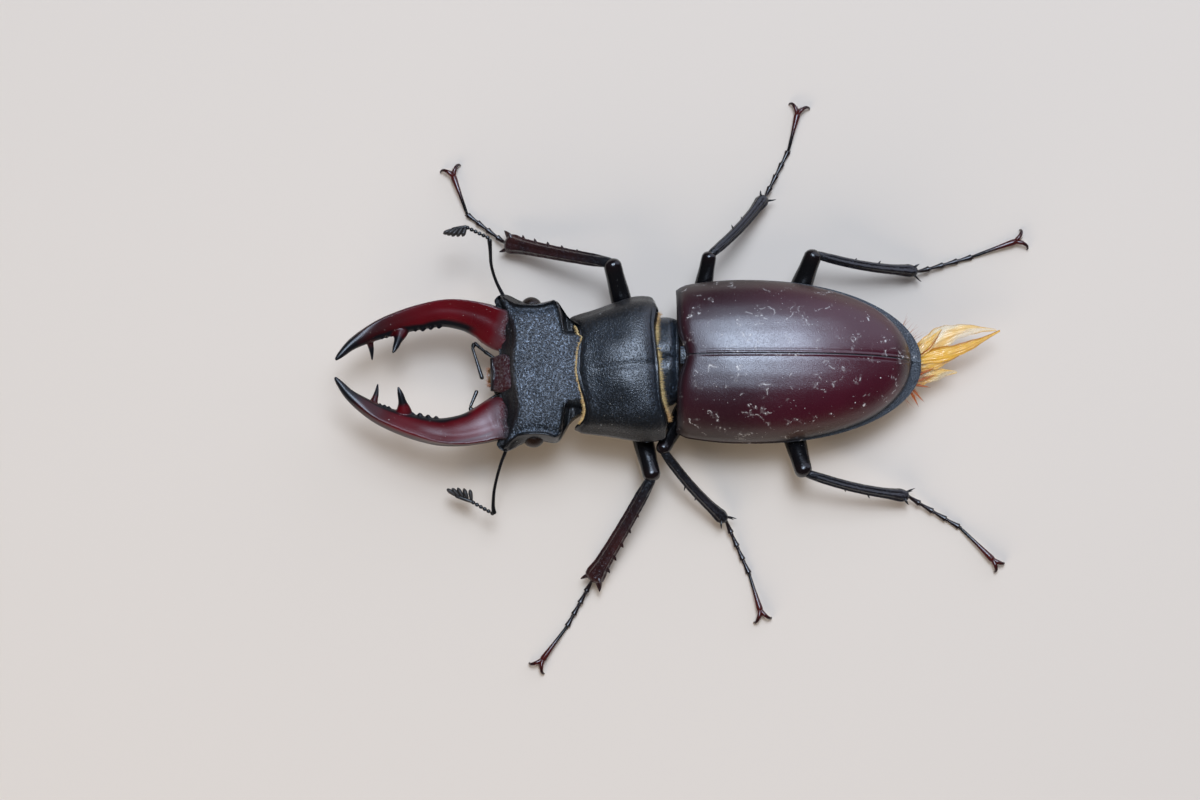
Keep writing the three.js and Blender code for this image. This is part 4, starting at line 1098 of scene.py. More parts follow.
def head_relief(x, y):
    """Everything that stands out of the roof, in mm: the front ridge and the rough slope before it,
    a scoop for each jaw and one in the middle, the bead over the eyes with a groove inside it, the
    hind corner's bead, the smooth hollow behind it, and the low swellings of the plateau."""
    ahead, over, behind, corner = from_ridges(x, y)
    out = np.abs(x)
    sunk = fade(-ahead, 0.75 + 0.2 * (out - 3.5), 1.3 + 0.2 * (out - 3.5))
    along_eye = fade(y, 0.5, 1.5) * (1 - fade(y, 6.5, 7.0))
    return (0.13 * bump(ahead, 0.10, 0.16) - 0.50 * fade(-ahead, 0.0, 0.55)
            - 0.85 * bump(out, 4.5, 1.7) * sunk
            - 0.40 * bump(x, 0.1, 1.5) * fade(-ahead, 0.25, 0.7)
            + along_eye * (0.30 * bump(over, -0.10, 0.17) - 0.26 * bump(over, -0.62, 0.36))
            + corner * (0.26 * bump(behind, 0, 0.17) - 0.12 * bump(behind, -0.5, 0.3))
            - corner * 1.35 * fade(behind, 0.10, 0.62)
            + 0.34 * bump(out, 4.9, 0.9) * bump(y, 7.9, 0.42)
            + 0.14 * bump(x, 0.4, 2.6) * bump(y, 6.0, 1.9)
            - 0.16 * bump(out, 3.3, 1.5) * bump(y, 3.3, 1.5)
            - 0.10 * bump(out, 6.3, 0.9) * bump(y, 4.4, 1.4))


def head_point(s, angle):
    """The head at s from front to back: half width times cos^0.62 across. Below, a flat oval.
    Above, the plateau and its relief, which both fade out at the sides."""
    rise = np.sin(angle)
    wide = curve(HEAD_HALF, s) * power(np.cos(angle), np.where(rise > 0, 0.62, 0.8))
    corner_back = 0.7 * (wide / 8) ** 2 - 1.5 * fade(np.abs(wide), 6.6, 8.2)
    y = s * HEAD["length"] + corner_back * np.clip(1 - s, 0, 1) ** 3
    throat = 0.18 * bump(np.abs(wide), 1.7, 0.2)
    deep = (HEAD["side"] - curve(HEAD_BASE, s)) * power(rise, 0.8) + throat
    high = (curve(HEAD_TOP, s) - HEAD["side"]) * plateau(wide, y)
    high = (high + head_relief(wide, y) * fade(rise, 0.0, 0.25)) * fade(rise, 0.0, 0.12)
    return grid_of(wide, y, HEAD["side"] + np.where(rise > 0, high, deep))


def ball(centre, size, rows, sides):
    """An egg: circles of radius sin of the latitude, with three half sizes."""
    latitude, angle = np.linspace(0.05, np.pi - 0.05, rows)[:, None], ring_angles(sides)
    grid = grid_of(np.sin(latitude) * np.cos(angle), -np.cos(latitude),
                   np.sin(latitude) * np.sin(angle))
    return np.array(centre) + grid * np.array(size)


# %% Build the head
s, angle = HEAD["end"] * crowded(248, 0.4)[:, None], ring_angles(386)
angle = angle - 0.75 * np.sin(2 * angle) / 2
block = head_point(s, angle)
block[..., 2] += 0.05 * ripple(block, 2.0, 8) * fade(np.sin(angle), 0.1, 0.5)
ahead, over, behind, corner = from_ridges(block[..., 0], block[..., 1])
beside = 1 - fade(np.sin(angle), 0.02, 0.15)
polished = np.maximum(fade(over, -0.45, -0.25), corner * fade(behind, -0.25, -0.05))
# painted shade: the ridges, the front slope and the sides, and below them the whole chin
shade = np.maximum(np.maximum(polished, fade(-ahead, 0.0, 0.35)), beside)
polished = polished * (1 - 0.7 * corner * fade(behind, 0.10, 0.40))
smooth = np.clip(0.85 * np.maximum(polished * (1 - beside), 0.8 * beside), 0, 1)
chin = tube(framed(ball((0.05, 0.7, 4.35), (3.0, 1.9, 0.55), 40, 60), HEAD))
piece("head_block", [tube(framed(block, HEAD)), chin], armour, "armour", ["head"],
      smooth=np.append(on_tube(smooth), np.full(len(chin[0]), 0.2)),
      shade=np.append(on_tube(shade, 1, 1), np.ones(len(chin[0]))))

# %% [markdown]
# ### Eyes
# Each eye is a dark dome under the side ridge, half covered in front by a spur of the head. Only
# the outer part shows, so a whole egg pushed into the side of the head gives the right rim.

# %% Eyes
EYE = {"side": 7.3, "back": 3.45, "z": 7.55, "size": (1.12, 1.2, 1.15)}
for name, side in SIDES.items():
    egg = ball((side * EYE["side"], EYE["back"], EYE["z"]), EYE["size"], 60, 80)
    piece("eye_dome_" + name, [tube(framed(egg, HEAD))], eye_finish, "eye", ["eye_" + name])

# %% [markdown]
# ## Jaws
# The antlers are the male's jaws. A squarish oval is carried along a curved line and thins to a
# point. Near the root a sharp ridge runs along the outer top, with a hollow under it. The big
# tooth, the fork at the tip and the small knobs between them are thorns pushed into the blade,
# and a voxel remesh makes one skin of them all, as it is one piece of horn on the beetle.

# %% The jaw's sizes
JAWS = {"x": 1.55, "y": -19.35, "turn": -1.3}
JAW = [  # forward, out, height, half width, half height
    [-1.3, 4.75, 6.85, 2.2, 1.25], [-0.7, 4.85, 6.9, 2.36, 1.40], [0.2, 5.05, 7.0, 2.45, 1.58],
    [1.0, 5.35, 7.1, 2.32, 1.72], [2.2, 5.9, 7.25, 2.05, 1.75], [4.2, 6.5, 7.3, 1.72, 1.6],
    [6.6, 6.70, 7.2, 1.48, 1.42], [9.2, 6.22, 7.05, 1.36, 1.3], [11.4, 5.58, 7.0, 1.22, 1.15],
    [13.4, 4.82, 7.05, 1.05, 1.0], [15.2, 3.8, 7.3, 0.86, 0.85], [16.7, 2.75, 7.6, 0.6, 0.62],
    [17.8, 1.55, 7.95, 0.36, 0.38], [18.3, 0.95, 8.15, 0.15, 0.15],
]
TEETH = [
    [(10.9, 5.3, 6.8, 1.25, 0.6), (10.9, 4.3, 7.05, 0.86, 0.68), (11.05, 3.45, 7.45, 0.47, 0.52),
     (11.3, 2.55, 7.85, 0.32, 0.34), (11.55, 1.85, 8.15, 0.09, 0.09)],
    [(14.45, 4.1, 6.95, 0.75, 0.48), (14.2, 3.25, 6.85, 0.42, 0.40), (14.0, 2.4, 6.72, 0.27, 0.28),
     (13.9, 1.3, 6.5, 0.08, 0.08)],
]
# for the left (1) and right (-1) jaw: how far forward its teeth sit, its twist in degrees along it,
# and how brown its outer half turns from where on
TOOTH_SHIFT = {1: -0.25, -1: 0.45}
TWIST = {1: [[0, 8], [4, 6], [9, -7], [13, -13], [18, -13]], -1: [[0, 8], [9, 5], [18, 8]]}
BROWN = {1: (0.7, 10.5), -1: (0.92, 8.0)}
VOXEL = 0.075
KNOBS = [(7.0, 0.30), (7.9, 0.34), (8.8, 0.36), (9.6, 0.24), (12.25, 0.22), (12.75, 0.24),
         (13.25, 0.2)]
BLADE = [[0, 1.0, -0.10], [20, 0.99, 0.30], [36, 0.94, 0.72], [47, 0.86, 0.95], [60, 0.68, 0.96],
         [90, 0.20, 0.86], [130, -0.46, 0.68], [158, -0.87, 0.40], [180, -1.0, 0.02],
         [200, -0.92, -0.30], [235, -0.55, -0.74], [270, 0.0, -0.92], [310, 0.6, -0.80],
         [340, 0.93, -0.42], [360, 1.0, -0.10]]


# %% The blade and its teeth
def jaw_line(count):
    """Places along a jaw, closer towards its tip, with the line's way out, height and widths."""
    share = 1 - (1 - np.linspace(0, 1, count)) ** 1.3
    forward = JAW[0][0] + (JAW[-1][0] - JAW[0][0]) * share
    return forward, curve(JAW, forward)


def jaw_place(side, forward, out, z):
    """A point of a jaw, in the jaws' own frame."""
    return grid_of(side * out, -np.asarray(forward, float), z)


def jaw_directions(path, side):
    """For each point of a jaw's line, the directions along it and level outwards from it."""
    way = units(np.gradient(path, axis=0))
    return way, units(np.cross(way, UP) * -side)


def tooth_keys(side):
    """The keys of both big teeth of a jaw, moved a little along it, as no jaws are twins."""
    return [[(*jaw_place(side, forward + TOOTH_SHIFT[side], out, z), wide, high)
             for forward, out, z, wide, high in tooth] for tooth in TEETH]


def jaw_blade(side):
    """The blade as rings. At an angle from outwards over the top, a section gives the shares of the
    half width and half height: a sharp ridge at 47 degrees, a flat roof that slopes down to the
    biting edge, and a round underside. Towards the tip it becomes the round cos and sin. The
    section is turned by a few degrees along the jaw, as the horn is a little twisted."""
    forward, line = jaw_line(180)
    path = jaw_place(side, forward, line[:, 0], line[:, 1])
    way, across = jaw_directions(path, side)
    lift = np.cross(across, way) * -side
    angle = np.linspace(0, 360, 90, endpoint=False)
    cut, f = curve(BLADE, angle), forward[:, None]
    soft = fade(f, 13.0, 17.8)
    across_cut = cut[:, 0] * (1 - soft) + np.cos(np.radians(angle)) * soft
    up_cut = cut[:, 1] * (1 - soft) + np.sin(np.radians(angle)) * soft
    roll = side * np.radians(curve(TWIST[side], f))
    out = across_cut * np.cos(roll) + up_cut * np.sin(roll)
    rise = up_cut * np.cos(roll) - across_cut * np.sin(roll)
    root = fade(f, -0.2, 1.2) * (1 - fade(f, 5.0, 9.5))
    swell = root * (0.09 * bump(angle, 48, 7) - 0.13 * bump(angle, 18, 14)
                    - 0.12 * bump(angle, 82, 18))
    swell = swell + 0.10 * bump(angle, 180, 14) * fade(f, 2.5, 6) * (1 - fade(f, 13.5, 15.5))
    swell = swell + 0.04 * ripple(path, 1.6, 11)[:, None] * (f < 1.2)
    narrow = rounded(path, line[:, 2], (0.45, 1.0))[:, None]
    wide, high = (line[:, 2:3] + swell) * narrow, (line[:, 3:4] + swell) * narrow
    sideways = (wide * out)[..., None] * across[:, None]
    return path[:, None] + sideways + (high * rise)[..., None] * lift[:, None]


def jaw_shapes(side):
    """The blade, two teeth and a row of knobs, as closed shapes in the beetle's frame."""
    grids = [jaw_blade(side)]
    grids += [limb(keys, 40, 28, ends=(0.6, 1.0)) for keys in tooth_keys(side)]
    for forward, size in KNOBS:
        out, z, wide, _ = curve(JAW, forward)
        inner = out - wide
        keys = [(*jaw_place(side, forward, inner + 0.45, z), size * 1.35, size * 1.2),
                (*jaw_place(side, forward + 0.04, inner - 0.02, z + 0.06), size * 1.1, size),
                (*jaw_place(side, forward + 0.08, inner - 0.10 - size * 0.8, z + 0.12),
                 size * 0.4, size * 0.45)]
        grids.append(limb(keys, 16, 16))
    return [tube(framed(grid, JAWS)) for grid in grids]


# %% Mark and build the jaws
def near_tooth(points, keys):
    """How far along a tooth each point is, from 0 to 1, and how far from its middle line."""
    root, tip = framed(np.array(keys)[[1, -1], :3], JAWS)
    along = np.clip(((points - root) @ (tip - root)) / ((tip - root) ** 2).sum(), 0, 1)
    return along, np.linalg.norm(points - root - along[:, None] * (tip - root), axis=1)


def jaw_marks(points, side):
    """Marks of the finished jaw: for each point, the nearest of 260 places on the line gives how
    far forward it is and the angle around the blade. Points near a tooth's line belong to it."""
    forward, line = jaw_line(260)
    path = framed(jaw_place(side, forward, line[:, 0], line[:, 1]), JAWS)
    nearest = ((points[:, None] - path[None]) ** 2).sum(-1).argmin(1)
    f, offset = forward[nearest], points - path[nearest]
    out = (offset * jaw_directions(path, side)[1][nearest]).sum(1)
    around = np.abs(np.degrees(np.arctan2(offset[:, 2], out)))
    tooth, tooth_root = np.zeros(len(points)), np.zeros(len(points))
    for keys in tooth_keys(side):
        along, gap = near_tooth(points, keys)
        tooth = np.maximum(tooth, fade(along, 0.22, 0.5) * (gap < 0.9 - 0.5 * along))
        at_root = (1 - fade(along, 0.15, 0.35)) * (1 - fade(gap, 0.6, 1.1))
        tooth_root = np.maximum(tooth_root, at_root)
    wave = 5 * ripple(points, 1.2, 2)
    ragged = f + wave * 0.06
    hinge = ragged - 0.16 * out
    edge = fade(around + wave, 130, 150) * fade(f, 2.0, 3.5) * (1 - tooth_root)
    root, point = 0.8 * (1 - fade(hinge, -0.6, 0.0)), fade(ragged, 14.6, 16.6)
    strength, start = BROWN[side]
    # painted highlight: a pale line along the sharp outer ridge, laid into the dust mark
    ridge = 0.5 * bump(around, 46, 3) * fade(f, 0.5, 2) * (1 - fade(f, 9, 13))
    return {"black": np.maximum.reduce([edge, point, root, tooth]),
            "outer": np.maximum(1 - fade(around, 26, 48), strength * fade(f, start, 14.5)),
            "rough": 1 - fade(hinge, -0.3, 0.45),
            "dust_and_ridge_highlight": np.maximum(0.35 * fade(f, -0.6, 0.2) * (1 - fade(hinge, 0.2, 1.4)), ridge)}


for name, side in SIDES.items():
    mesh = fused("jaw_" + name, jaw_shapes(side), VOXEL)
    piece("jaw_" + name, mesh, horn, "jaw", ["mandible_" + name], crease=80,
          **jaw_marks(points_of(mesh), side))

# %% [markdown]
# ## Mouth
# The upper lip is a pitted wedge between the jaws with a polished front edge. Under it are the
# small lower lip, with its orange brush for licking sap, and two jointed palps folded inwards.

# %% Lips and palps
LIP = {"x": 0.1, "y": -1.2, "z": 7.16, "length": 2.7, "rise": 1.35, "half": 1.85, "thick": 0.30}
s, angle = crowded(60, 0.5)[:, None], ring_angles(110)
half, thick = LIP["half"] + 0.3 * bump(s, 0.5, 0.3), LIP["thick"] + 0.60 * bump(s, 0.6, 0.4)
wide, high = squarish(angle, half, thick, thick, 0.6, 0.8)
back = LIP["length"] * s
dip = (0.12 * bump(s, 0.07, 0.05) - 0.22 * bump(wide, 0.1, 0.8) * bump(s, 0.30, 0.2)
       + 0.12 * bump(np.abs(wide), 1.75, 0.25) + 0.12 * ripple(grid_of(wide, back, 0), 0.7, 4))
high = high + dip * np.clip(np.sin(angle), 0, 1) ** 0.5
wedge = grid_of(LIP["x"] + wide, LIP["y"] + back + 0.22 * bump(wide, 0, 0.6) * (1 - s),
                LIP["z"] + LIP["rise"] * s**1.2 + high)
front_edge = on_tube(1 - fade(s, 0.08, 0.2) + 0 * angle, 1, 0)
piece("upper_lip", [tube(framed(wedge, HEAD))], horn, "jaw", ["labrum"],
      black=0.68 + 0.3 * front_edge, rough=0.9 - 0.85 * front_edge)

s, angle = crowded(30, 0.5)[:, None], ring_angles(48)
tongue = grid_of((0.7 + 0.8 * s) * np.cos(angle), -1.5 + 1.35 * s, 5.5 + 0.4 * np.sin(angle))
piece("lower_lip", [tube(framed(tongue, HEAD))], skin, "soft_joint", ["lip"])


def rod(places, widths, count, sides, **options):
    """A round limb of the head through places, with a half width at each."""
    return tube(framed(limb([(*p, w, w) for p, w in zip(places, widths)], count, sides, **options),
                       HEAD))


PALPS = {
    "left": [(1.9, -0.3, 5.3), (3.0, -2.0, 5.1), (3.85, -3.45, 5.0), (3.3, -3.55, 5.0),
             (1.5, -2.8, 4.8)],
    "right": [(-1.7, -0.3, 5.3), (-2.9, -1.9, 5.1), (-3.9, -3.0, 5.0), (-3.3, -3.2, 5.0),
              (0.1, -2.2, 4.8)],
}
PALP_WIDTHS = [(0.16, 0.24), (0.16, 0.24), (0.22, 0.22), (0.16, 0.24)]
for name, joints in PALPS.items():
    shapes = []
    for start, end, (thin, thick) in zip(np.array(joints[:-1]), joints[1:], PALP_WIDTHS):
        places = [start + (end - start) * t for t in (-0.04, 0.4, 1.04)]
        shapes.append(rod(places, (thin, thin * 1.15, thick), 30, 18))
    piece("palp_rod_" + name, shapes, feeler_finish, "feeler", ["palp_" + name])

# %% [markdown]
# ## Feelers
# A feeler has a long curved first joint, an elbow, six small beads and a club of leaves that can
# spread like a fan. The beads are smooth. The leaves are covered with grey felt that smells
# things, so they are marked `felt` and look dull.

# %% Feelers
FEELERS = {  # beads and club: compass heading, length and drop
    "left": {"shaft": [(8.3, 0.5, 7.1), (10.2, -0.3, 6.4), (12.6, -1.0, 5.4), (14.4, -1.2, 4.6),
                       (15.3, -1.1, 4.2)],
             "beads": (238, 2.5, -0.6), "club": (248, 2.5, -0.3), "spread": 1},
    "right": {"shaft": [(-8.6, 0.4, 7.4), (-10.4, -0.45, 8.0), (-12.0, -0.88, 8.6),
                        (-13.6, -0.95, 9.0), (-14.8, -1.0, 9.3)],
              "beads": (241, 2.5, -0.3), "club": (278, 2.1, -0.3), "spread": -1},
}


FEELER_BEADS, LEAVES, LEAF_RINGS, LEAF_SIDES = 6, 5, 36, 24


def ahead_of(start, heading, length, drop, share=1.0):
    """A place further along a compass heading in degrees, lower by drop."""
    a = math.radians(heading)
    way = np.array([length * math.cos(a), length * math.sin(a), drop])
    return np.asarray(start, float) + way * share


def club_leaf(k, wrist, feeler):
    """One leaf of the club: the first one stands out most and the last one least."""
    heading, length, drop = feeler["club"]
    root = ahead_of(wrist, heading, length, drop, 0.18 * k - 0.02)
    turned = heading - feeler["spread"] * (60 - 11 * k)
    tip = ahead_of(root, turned, length, drop, 0.60 - 0.02 * abs(k - 2))
    keys = [(*(root + (tip - root) * t), wide, high)
            for t, wide, high in ((0, 0.13, 0.18), (0.3, 0.20, 0.36), (0.7, 0.245, 0.48),
                                  (1, 0.15, 0.28))]
    return tube(framed(limb(keys, LEAF_RINGS, LEAF_SIDES, ends=(1, 1.6)), HEAD))


for name, feeler in FEELERS.items():
    shaft = rod(feeler["shaft"], (0.22, 0.18, 0.18, 0.21, 0.29), 90, 28, ends=(1, 0.8))
    piece("feeler_shaft_" + name, [shaft], feeler_finish, "feeler", [f"antenna_{name}_scape"],
          felt=0.0)
    elbow = ahead_of(feeler["shaft"][-1], *feeler["beads"], 0.0)
    wrist = ahead_of(feeler["shaft"][-1], *feeler["beads"], 0.2)
    wrist = ahead_of(wrist, *feeler["beads"])
    parts = []
    for k in range(FEELER_BEADS):
        places = [elbow + (wrist - elbow) * (k + t) / FEELER_BEADS for t in (0.0, 0.45, 0.98)]
        parts.append((rod(places, (0.15, 0.22, 0.26), 22, 20), 0.0))
    stem = [ahead_of(wrist, *feeler["club"], t) for t in (-0.08, 0.3, 0.78)]
    parts.append((rod(stem, (0.17, 0.22, 0.20), 24, 18), 0.4))
    leaf_felt = np.repeat(fade(np.linspace(0, 1, LEAF_RINGS), 0.15, 0.4), LEAF_SIDES)
    parts += [(club_leaf(k, wrist, feeler), on_tube(leaf_felt, 0, 1)) for k in range(LEAVES)]
    shapes, felt = shapes_and_mark(parts)
    piece("feeler_club_" + name, shapes, feeler_finish, "feeler", [f"antenna_{name}_club"],
          felt=felt)

# %% [markdown]
# ## Legs
# Six legs stand wide and hold the body up. Each has a hip, a smooth thigh, a ridged and spiny
# shin, a foot of five joints and two hooked claws. Every leg is set out the same way: from the
# hip, each part goes a known length along a compass heading and ends at a known height, so its
# place on the floor follows from the lengths.

# %% Set out the six legs
LEGS = {
    "front": {"middle": 0.6, "spread": 3.0, "y": -4.8, "z": 2.95, "thigh": 1.05, "shin": 0.95,
              "bow": 0.1, "facing": -1, "lengths": (9.75, 13.55, 5.8, 4.65)},
    "mid": {"middle": -0.8, "spread": 3.3, "y": 2.2, "z": 2.6, "thigh": 0.88, "shin": 0.58,
            "bow": 0.35, "facing": 1, "lengths": (8.83, 11.1, 6.4, 4.35)},
    "hind": {"middle": -0.2, "spread": 3.6, "y": 12.0, "z": 2.5, "thigh": 1.05, "shin": 0.57,
             "bow": 0.4, "facing": 1, "lengths": (9.75, 12.8, 6.75, 5.2)},
}
STANCE = {  # knee height, then the headings of thigh, shin, foot and last foot joint
    "front_left": (5.4, 13, 329, 331, 324), "front_right": (6.9, 195, 254, 231, 200),
    "mid_left": (5.8, 333, 44, 24, 16), "mid_right": (6.2, 169, 140, 154, 166),
    "hind_left": (5.8, 13, 80, 60, 44), "hind_right": (6.1, 158, 85, 107, 109),
}
ANKLE_Z, SOLE_Z, CLAW_ROOT_Z = 1.7, 0.31, 0.75
FOOT_SAG, FOOT_BEADS = 0.45, 4


def leg_step(start, length, heading, z):
    """The end of a leg part: its run over the floor is sqrt(length^2 - rise^2)."""
    run, a = math.sqrt(length**2 - (z - start[2]) ** 2), math.radians(heading)
    return np.array([start[0] + run * math.cos(a), start[1] + run * math.sin(a), z])


def set_out(name):
    """The joints of a leg, its side, its pair's sizes and the way its shin's spines point."""
    pair, side = name.split("_")
    leg, side = dict(LEGS[pair]), SIDES[side]
    knee_z, *headings = STANCE[name]
    joints = [np.array([leg["middle"] + side * leg["spread"], leg["y"], leg["z"]])]
    for length, heading, z in zip(leg["lengths"], headings,
                                  (knee_z, ANKLE_Z, SOLE_Z, CLAW_ROOT_Z)):
        joints.append(leg_step(joints[-1], length, heading, z))
    leg.update(zip(("hip", "knee", "ankle", "toe", "root"), joints))
    out = unit(np.cross(unit(leg["ankle"] - leg["knee"]), UP)) * leg["facing"] * side
    return {**leg, "side": side, "out": out, "claw": headings[-1], "pair": pair}


legs = {name: set_out(name) for name in STANCE}
print("knee of the left front leg, mm:", np.round(legs["front_left"]["knee"], 2))

# %% [markdown]
# ### Hips and thighs
# The hip is a short roller that lies across the body. The thigh comes out of it, thickest before
# the middle, with a shallow groove near the knee where the shin folds in.

# %% Hips and thighs
HIP = [(-1.6, 0.6), (-0.8, 1.15), (0.6, 1.2), (1.3, 0.8)]
THIGH = [(0, 0.75), (0.15, 1.05), (0.45, 1.12), (0.8, 1.04), (0.95, 1.06), (1.05, 0.98)]
ROOT_WIDER = {"front": 0.0, "mid": 0.22, "hind": 0.22}


def thigh_relief(size):
    """A shallow groove in front and behind near the knee, and a low collar at the knee."""
    def relief(t, angle):
        sides = bump(np.abs(np.cos(angle)), 1, 0.12)
        collar = 0.04 * size * bump(t, 0.97, 0.02) * (1 - sides)
        return -0.10 * size * sides * fade(t, 0.6, 0.9) + collar

    return relief


for name, leg in legs.items():
    size, hip, knee, side = leg["thigh"], leg["hip"], leg["knee"], leg["side"]
    keys = [(hip[0] + side * along, hip[1] + 0.3 * along, hip[2], share * size, share * size * 0.85)
            for along, share in HIP]
    piece("hip_" + name, [tube(limb(keys, 50, 48))], leg_finish, "leg", ["coxa_" + name])
    wider = ROOT_WIDER[leg["pair"]]
    keys = [(*(hip + (knee - hip) * t), size * w * (1 + wider * (0.9 - t)), size * w * 0.86)
            for t, w in THIGH]
    thigh = limb(keys, 90, 56, (1, 0.75), thigh_relief(size))
    mesh = new_mesh("thigh_" + name, [tube(thigh)])
    along = (points_of(mesh) - hip) @ (knee - hip) / ((knee - hip) @ (knee - hip))
    piece("thigh_" + name, mesh, leg_finish, "leg", ["femur_" + name],
          red=0.05 * fade(np.clip(along, 0, 1), 0.86, 1.0))

# %% [markdown]
# ### Shins
# A front shin is a flattened digging blade, wide at its end, with a row of teeth along the
# outside and a fork at the tip. The others are rounder rods with lengthwise ridges and one or two
# thorns. Thorns are separate cones whose roots are buried in the shin.

# %% Shins
BLADE_SHIN = {
    "shares": [[0, 0.55], [0.08, 0.66], [0.4, 0.73], [0.7, 0.82], [0.86, 0.95], [0.95, 1.18],
               [1, 1.12]],
    "flat": 0.72, "end": 0.6, "tooth": 0.34, "fork": 0.95, "red": 0.9, "thorn_red": 0.8,
    "ends": [(1, 0.0, 1.0, 1.25, 0.48), (-1, 0.0, 0.75, 1.1, 0.34), (1, 0.7, 0.5, 0.6, 0.30)],
}
ROUND_SHIN = {
    "shares": [[0, 0.62], [0.06, 0.85], [0.4, 0.92], [0.8, 1.02], [0.93, 1.25], [1, 0.85]],
    "flat": 0.85, "end": 0.8, "tooth": 0.15, "fork": 0.955, "red": 0.1, "thorn_red": 0.3,
    "ends": [(1, 0.0, 0.75, 0.75, 0.17), (-1, 0.0, 1.05, 1.15, 0.15), (-1, -0.6, 0.6, 0.95, 0.13),
             (1, 0.9, 0.4, 0.5, 0.13)],
}
SHIN_TEETH = {  # place along the shin and length
    "front": [(0.34, 0.20), (0.48, 0.28), (0.61, 0.34), (0.73, 0.38), (0.84, 0.46)],
    "mid": [(0.44, 0.48), (0.60, 0.30)], "hind": [(0.40, 0.30), (0.62, 0.40)],
}
SHIN_RINGS, SHIN_SIDES = 130, 60


def shin_line(leg, t):
    """The shin's line at t: straight from just before the knee to the ankle, bowed by a sine."""
    start = leg["knee"] + unit(leg["knee"] - leg["ankle"]) * 0.15
    bow = np.sin(np.pi * t) * leg["out"] * leg["side"] * leg["bow"]
    return start + t * (leg["ankle"] - start) + bow


def shin_relief(size):
    """Six rounded ridges along the shin, fading out at both ends, and low bumps between them."""
    def relief(t, angle):
        bumps = 0.014 * np.sin(angle * 9 + t * 30) * np.sin(t * 74)
        ridges = np.sin(angle * 6 + 0.6) * 0.085 + bumps
        return size * ridges * fade(t, 0.06, 0.2) * (1 - fade(t, 0.9, 1.0))

    return relief


def shin_parts(leg, kind):
    """The shin, its side teeth and its end spurs, each with how red it is."""
    size, out, way = leg["shin"], leg["out"], unit(leg["ankle"] - leg["knee"])
    keys = []
    for t in np.linspace(0, 1, 15):
        share = curve(kind["shares"], t)
        keys.append((*shin_line(leg, t), size * share, size * min(share, 1.0) * kind["flat"]))
    grid = limb(keys, SHIN_RINGS, SHIN_SIDES, (1, kind["end"]), shin_relief(size))
    red = np.repeat(fade(np.linspace(0, 1, SHIN_RINGS), 0.15, 0.6), SHIN_SIDES)
    parts = [(tube(grid), on_tube(red, 0, 1))]
    for place, length in SHIN_TEETH[leg["pair"]]:
        at, depth = shin_line(leg, place), size * (0.62 + 0.3 * place)
        root, tip = at + out * depth * 0.45 - way * 0.1, at + out * (depth + length)
        tooth = spike(root, tip + way * (0.62 * length + 0.05), kind["tooth"], 14, 12, out * 0.03)
        parts.append((tooth, kind["thorn_red"]))
    at = shin_line(leg, kind["fork"])
    for sign, up, reach, forward, radius in kind["ends"]:
        away = sign * out + up * UP
        tip = at + away * (size * 0.8 + reach * 0.6) + way * forward
        spur = spike(at + away * size * 0.45, tip, radius, 14, 14, away * 0.06)
        parts.append((spur, kind["thorn_red"]))
    return parts


for name, leg in legs.items():
    kind = BLADE_SHIN if leg["pair"] == "front" else ROUND_SHIN
    shapes, red = shapes_and_mark(shin_parts(leg, kind))
    piece("shin_" + name, shapes, shin_finish, "shin", ["tibia_" + name], red=red * kind["red"])

# %% [markdown]
# ### Feet and claws
# A foot has four short beads that widen forwards, each with two stiff hairs under its end, and a
# long last joint with two hooked claws. Between the claws is a tiny lobe with two bristles, the
# mark of this family. The lowest parts rest on the floor, so nothing may go below it.

# %% Feet and claws
CLAW = [  # forward, outwards, up and half width
    (-0.2, 0.0, 0.0, 0.22), (0.28, 0.18, 0.10, 0.25), (0.70, 0.46, 0.14, 0.22),
    (1.04, 0.82, -0.04, 0.17), (1.10, 1.12, -0.36, 0.12), (0.98, 1.22, -0.66, 0.05),
]
CLAWS_OPEN = {"hind_left": 0.62, "mid_left": 0.85, "front_left": 0.85}
BEAD = [(-0.08, 0.15), (0.3, 0.19), (0.72, 0.27), (0.92, 0.33), (1.0, 0.27)]
LAST_JOINT = [(-0.02, 0.14), (0.12, 0.18), (0.5, 0.22), (0.8, 0.31), (0.95, 0.36), (1.03, 0.28)]


def on_floor(shape):
    """The same shape with every point that would sink below the floor lifted to it."""
    points, quads, tris = shape
    return np.column_stack([points[:, :2], np.maximum(points[:, 2], 0.0)]), quads, tris


def foot_line(leg, t):
    """A place on the beads of a foot, whose height sags towards the floor as t^0.45."""
    start, toe = leg["ankle"] - (leg["toe"] - leg["ankle"]) * 0.03, leg["toe"]
    x, y, _ = start + (toe - start) * t
    return np.array([x, y, start[2] + (toe[2] - start[2]) * t**FOOT_SAG])


def bead_parts(leg, k):
    """One bead of a foot with its two stiff hairs."""
    places = [foot_line(leg, max(0.0, (k + t) / FOOT_BEADS)) for t, _ in BEAD]
    keys = [(*place, w * 1.05, w * 1.05 * 0.95) for place, (_, w) in zip(places, BEAD)]
    parts = [(on_floor(tube(limb(keys, 44, 22, ends=(1, 0.6)))), 0.1)]
    way = unit(foot_line(leg, (k + 1) / FOOT_BEADS) - foot_line(leg, k / FOOT_BEADS))
    across = unit(np.cross(way, UP))
    for s in (-1, 1):
        root = foot_line(leg, (k + 0.93) / FOOT_BEADS) + across * s * 0.12 - UP * 0.08
        tip = root + way * 0.34 + across * s * 0.10 - UP * 0.12
        parts.append((on_floor(spike(root, tip, 0.05, 6, 6)), 0.5))
    return parts


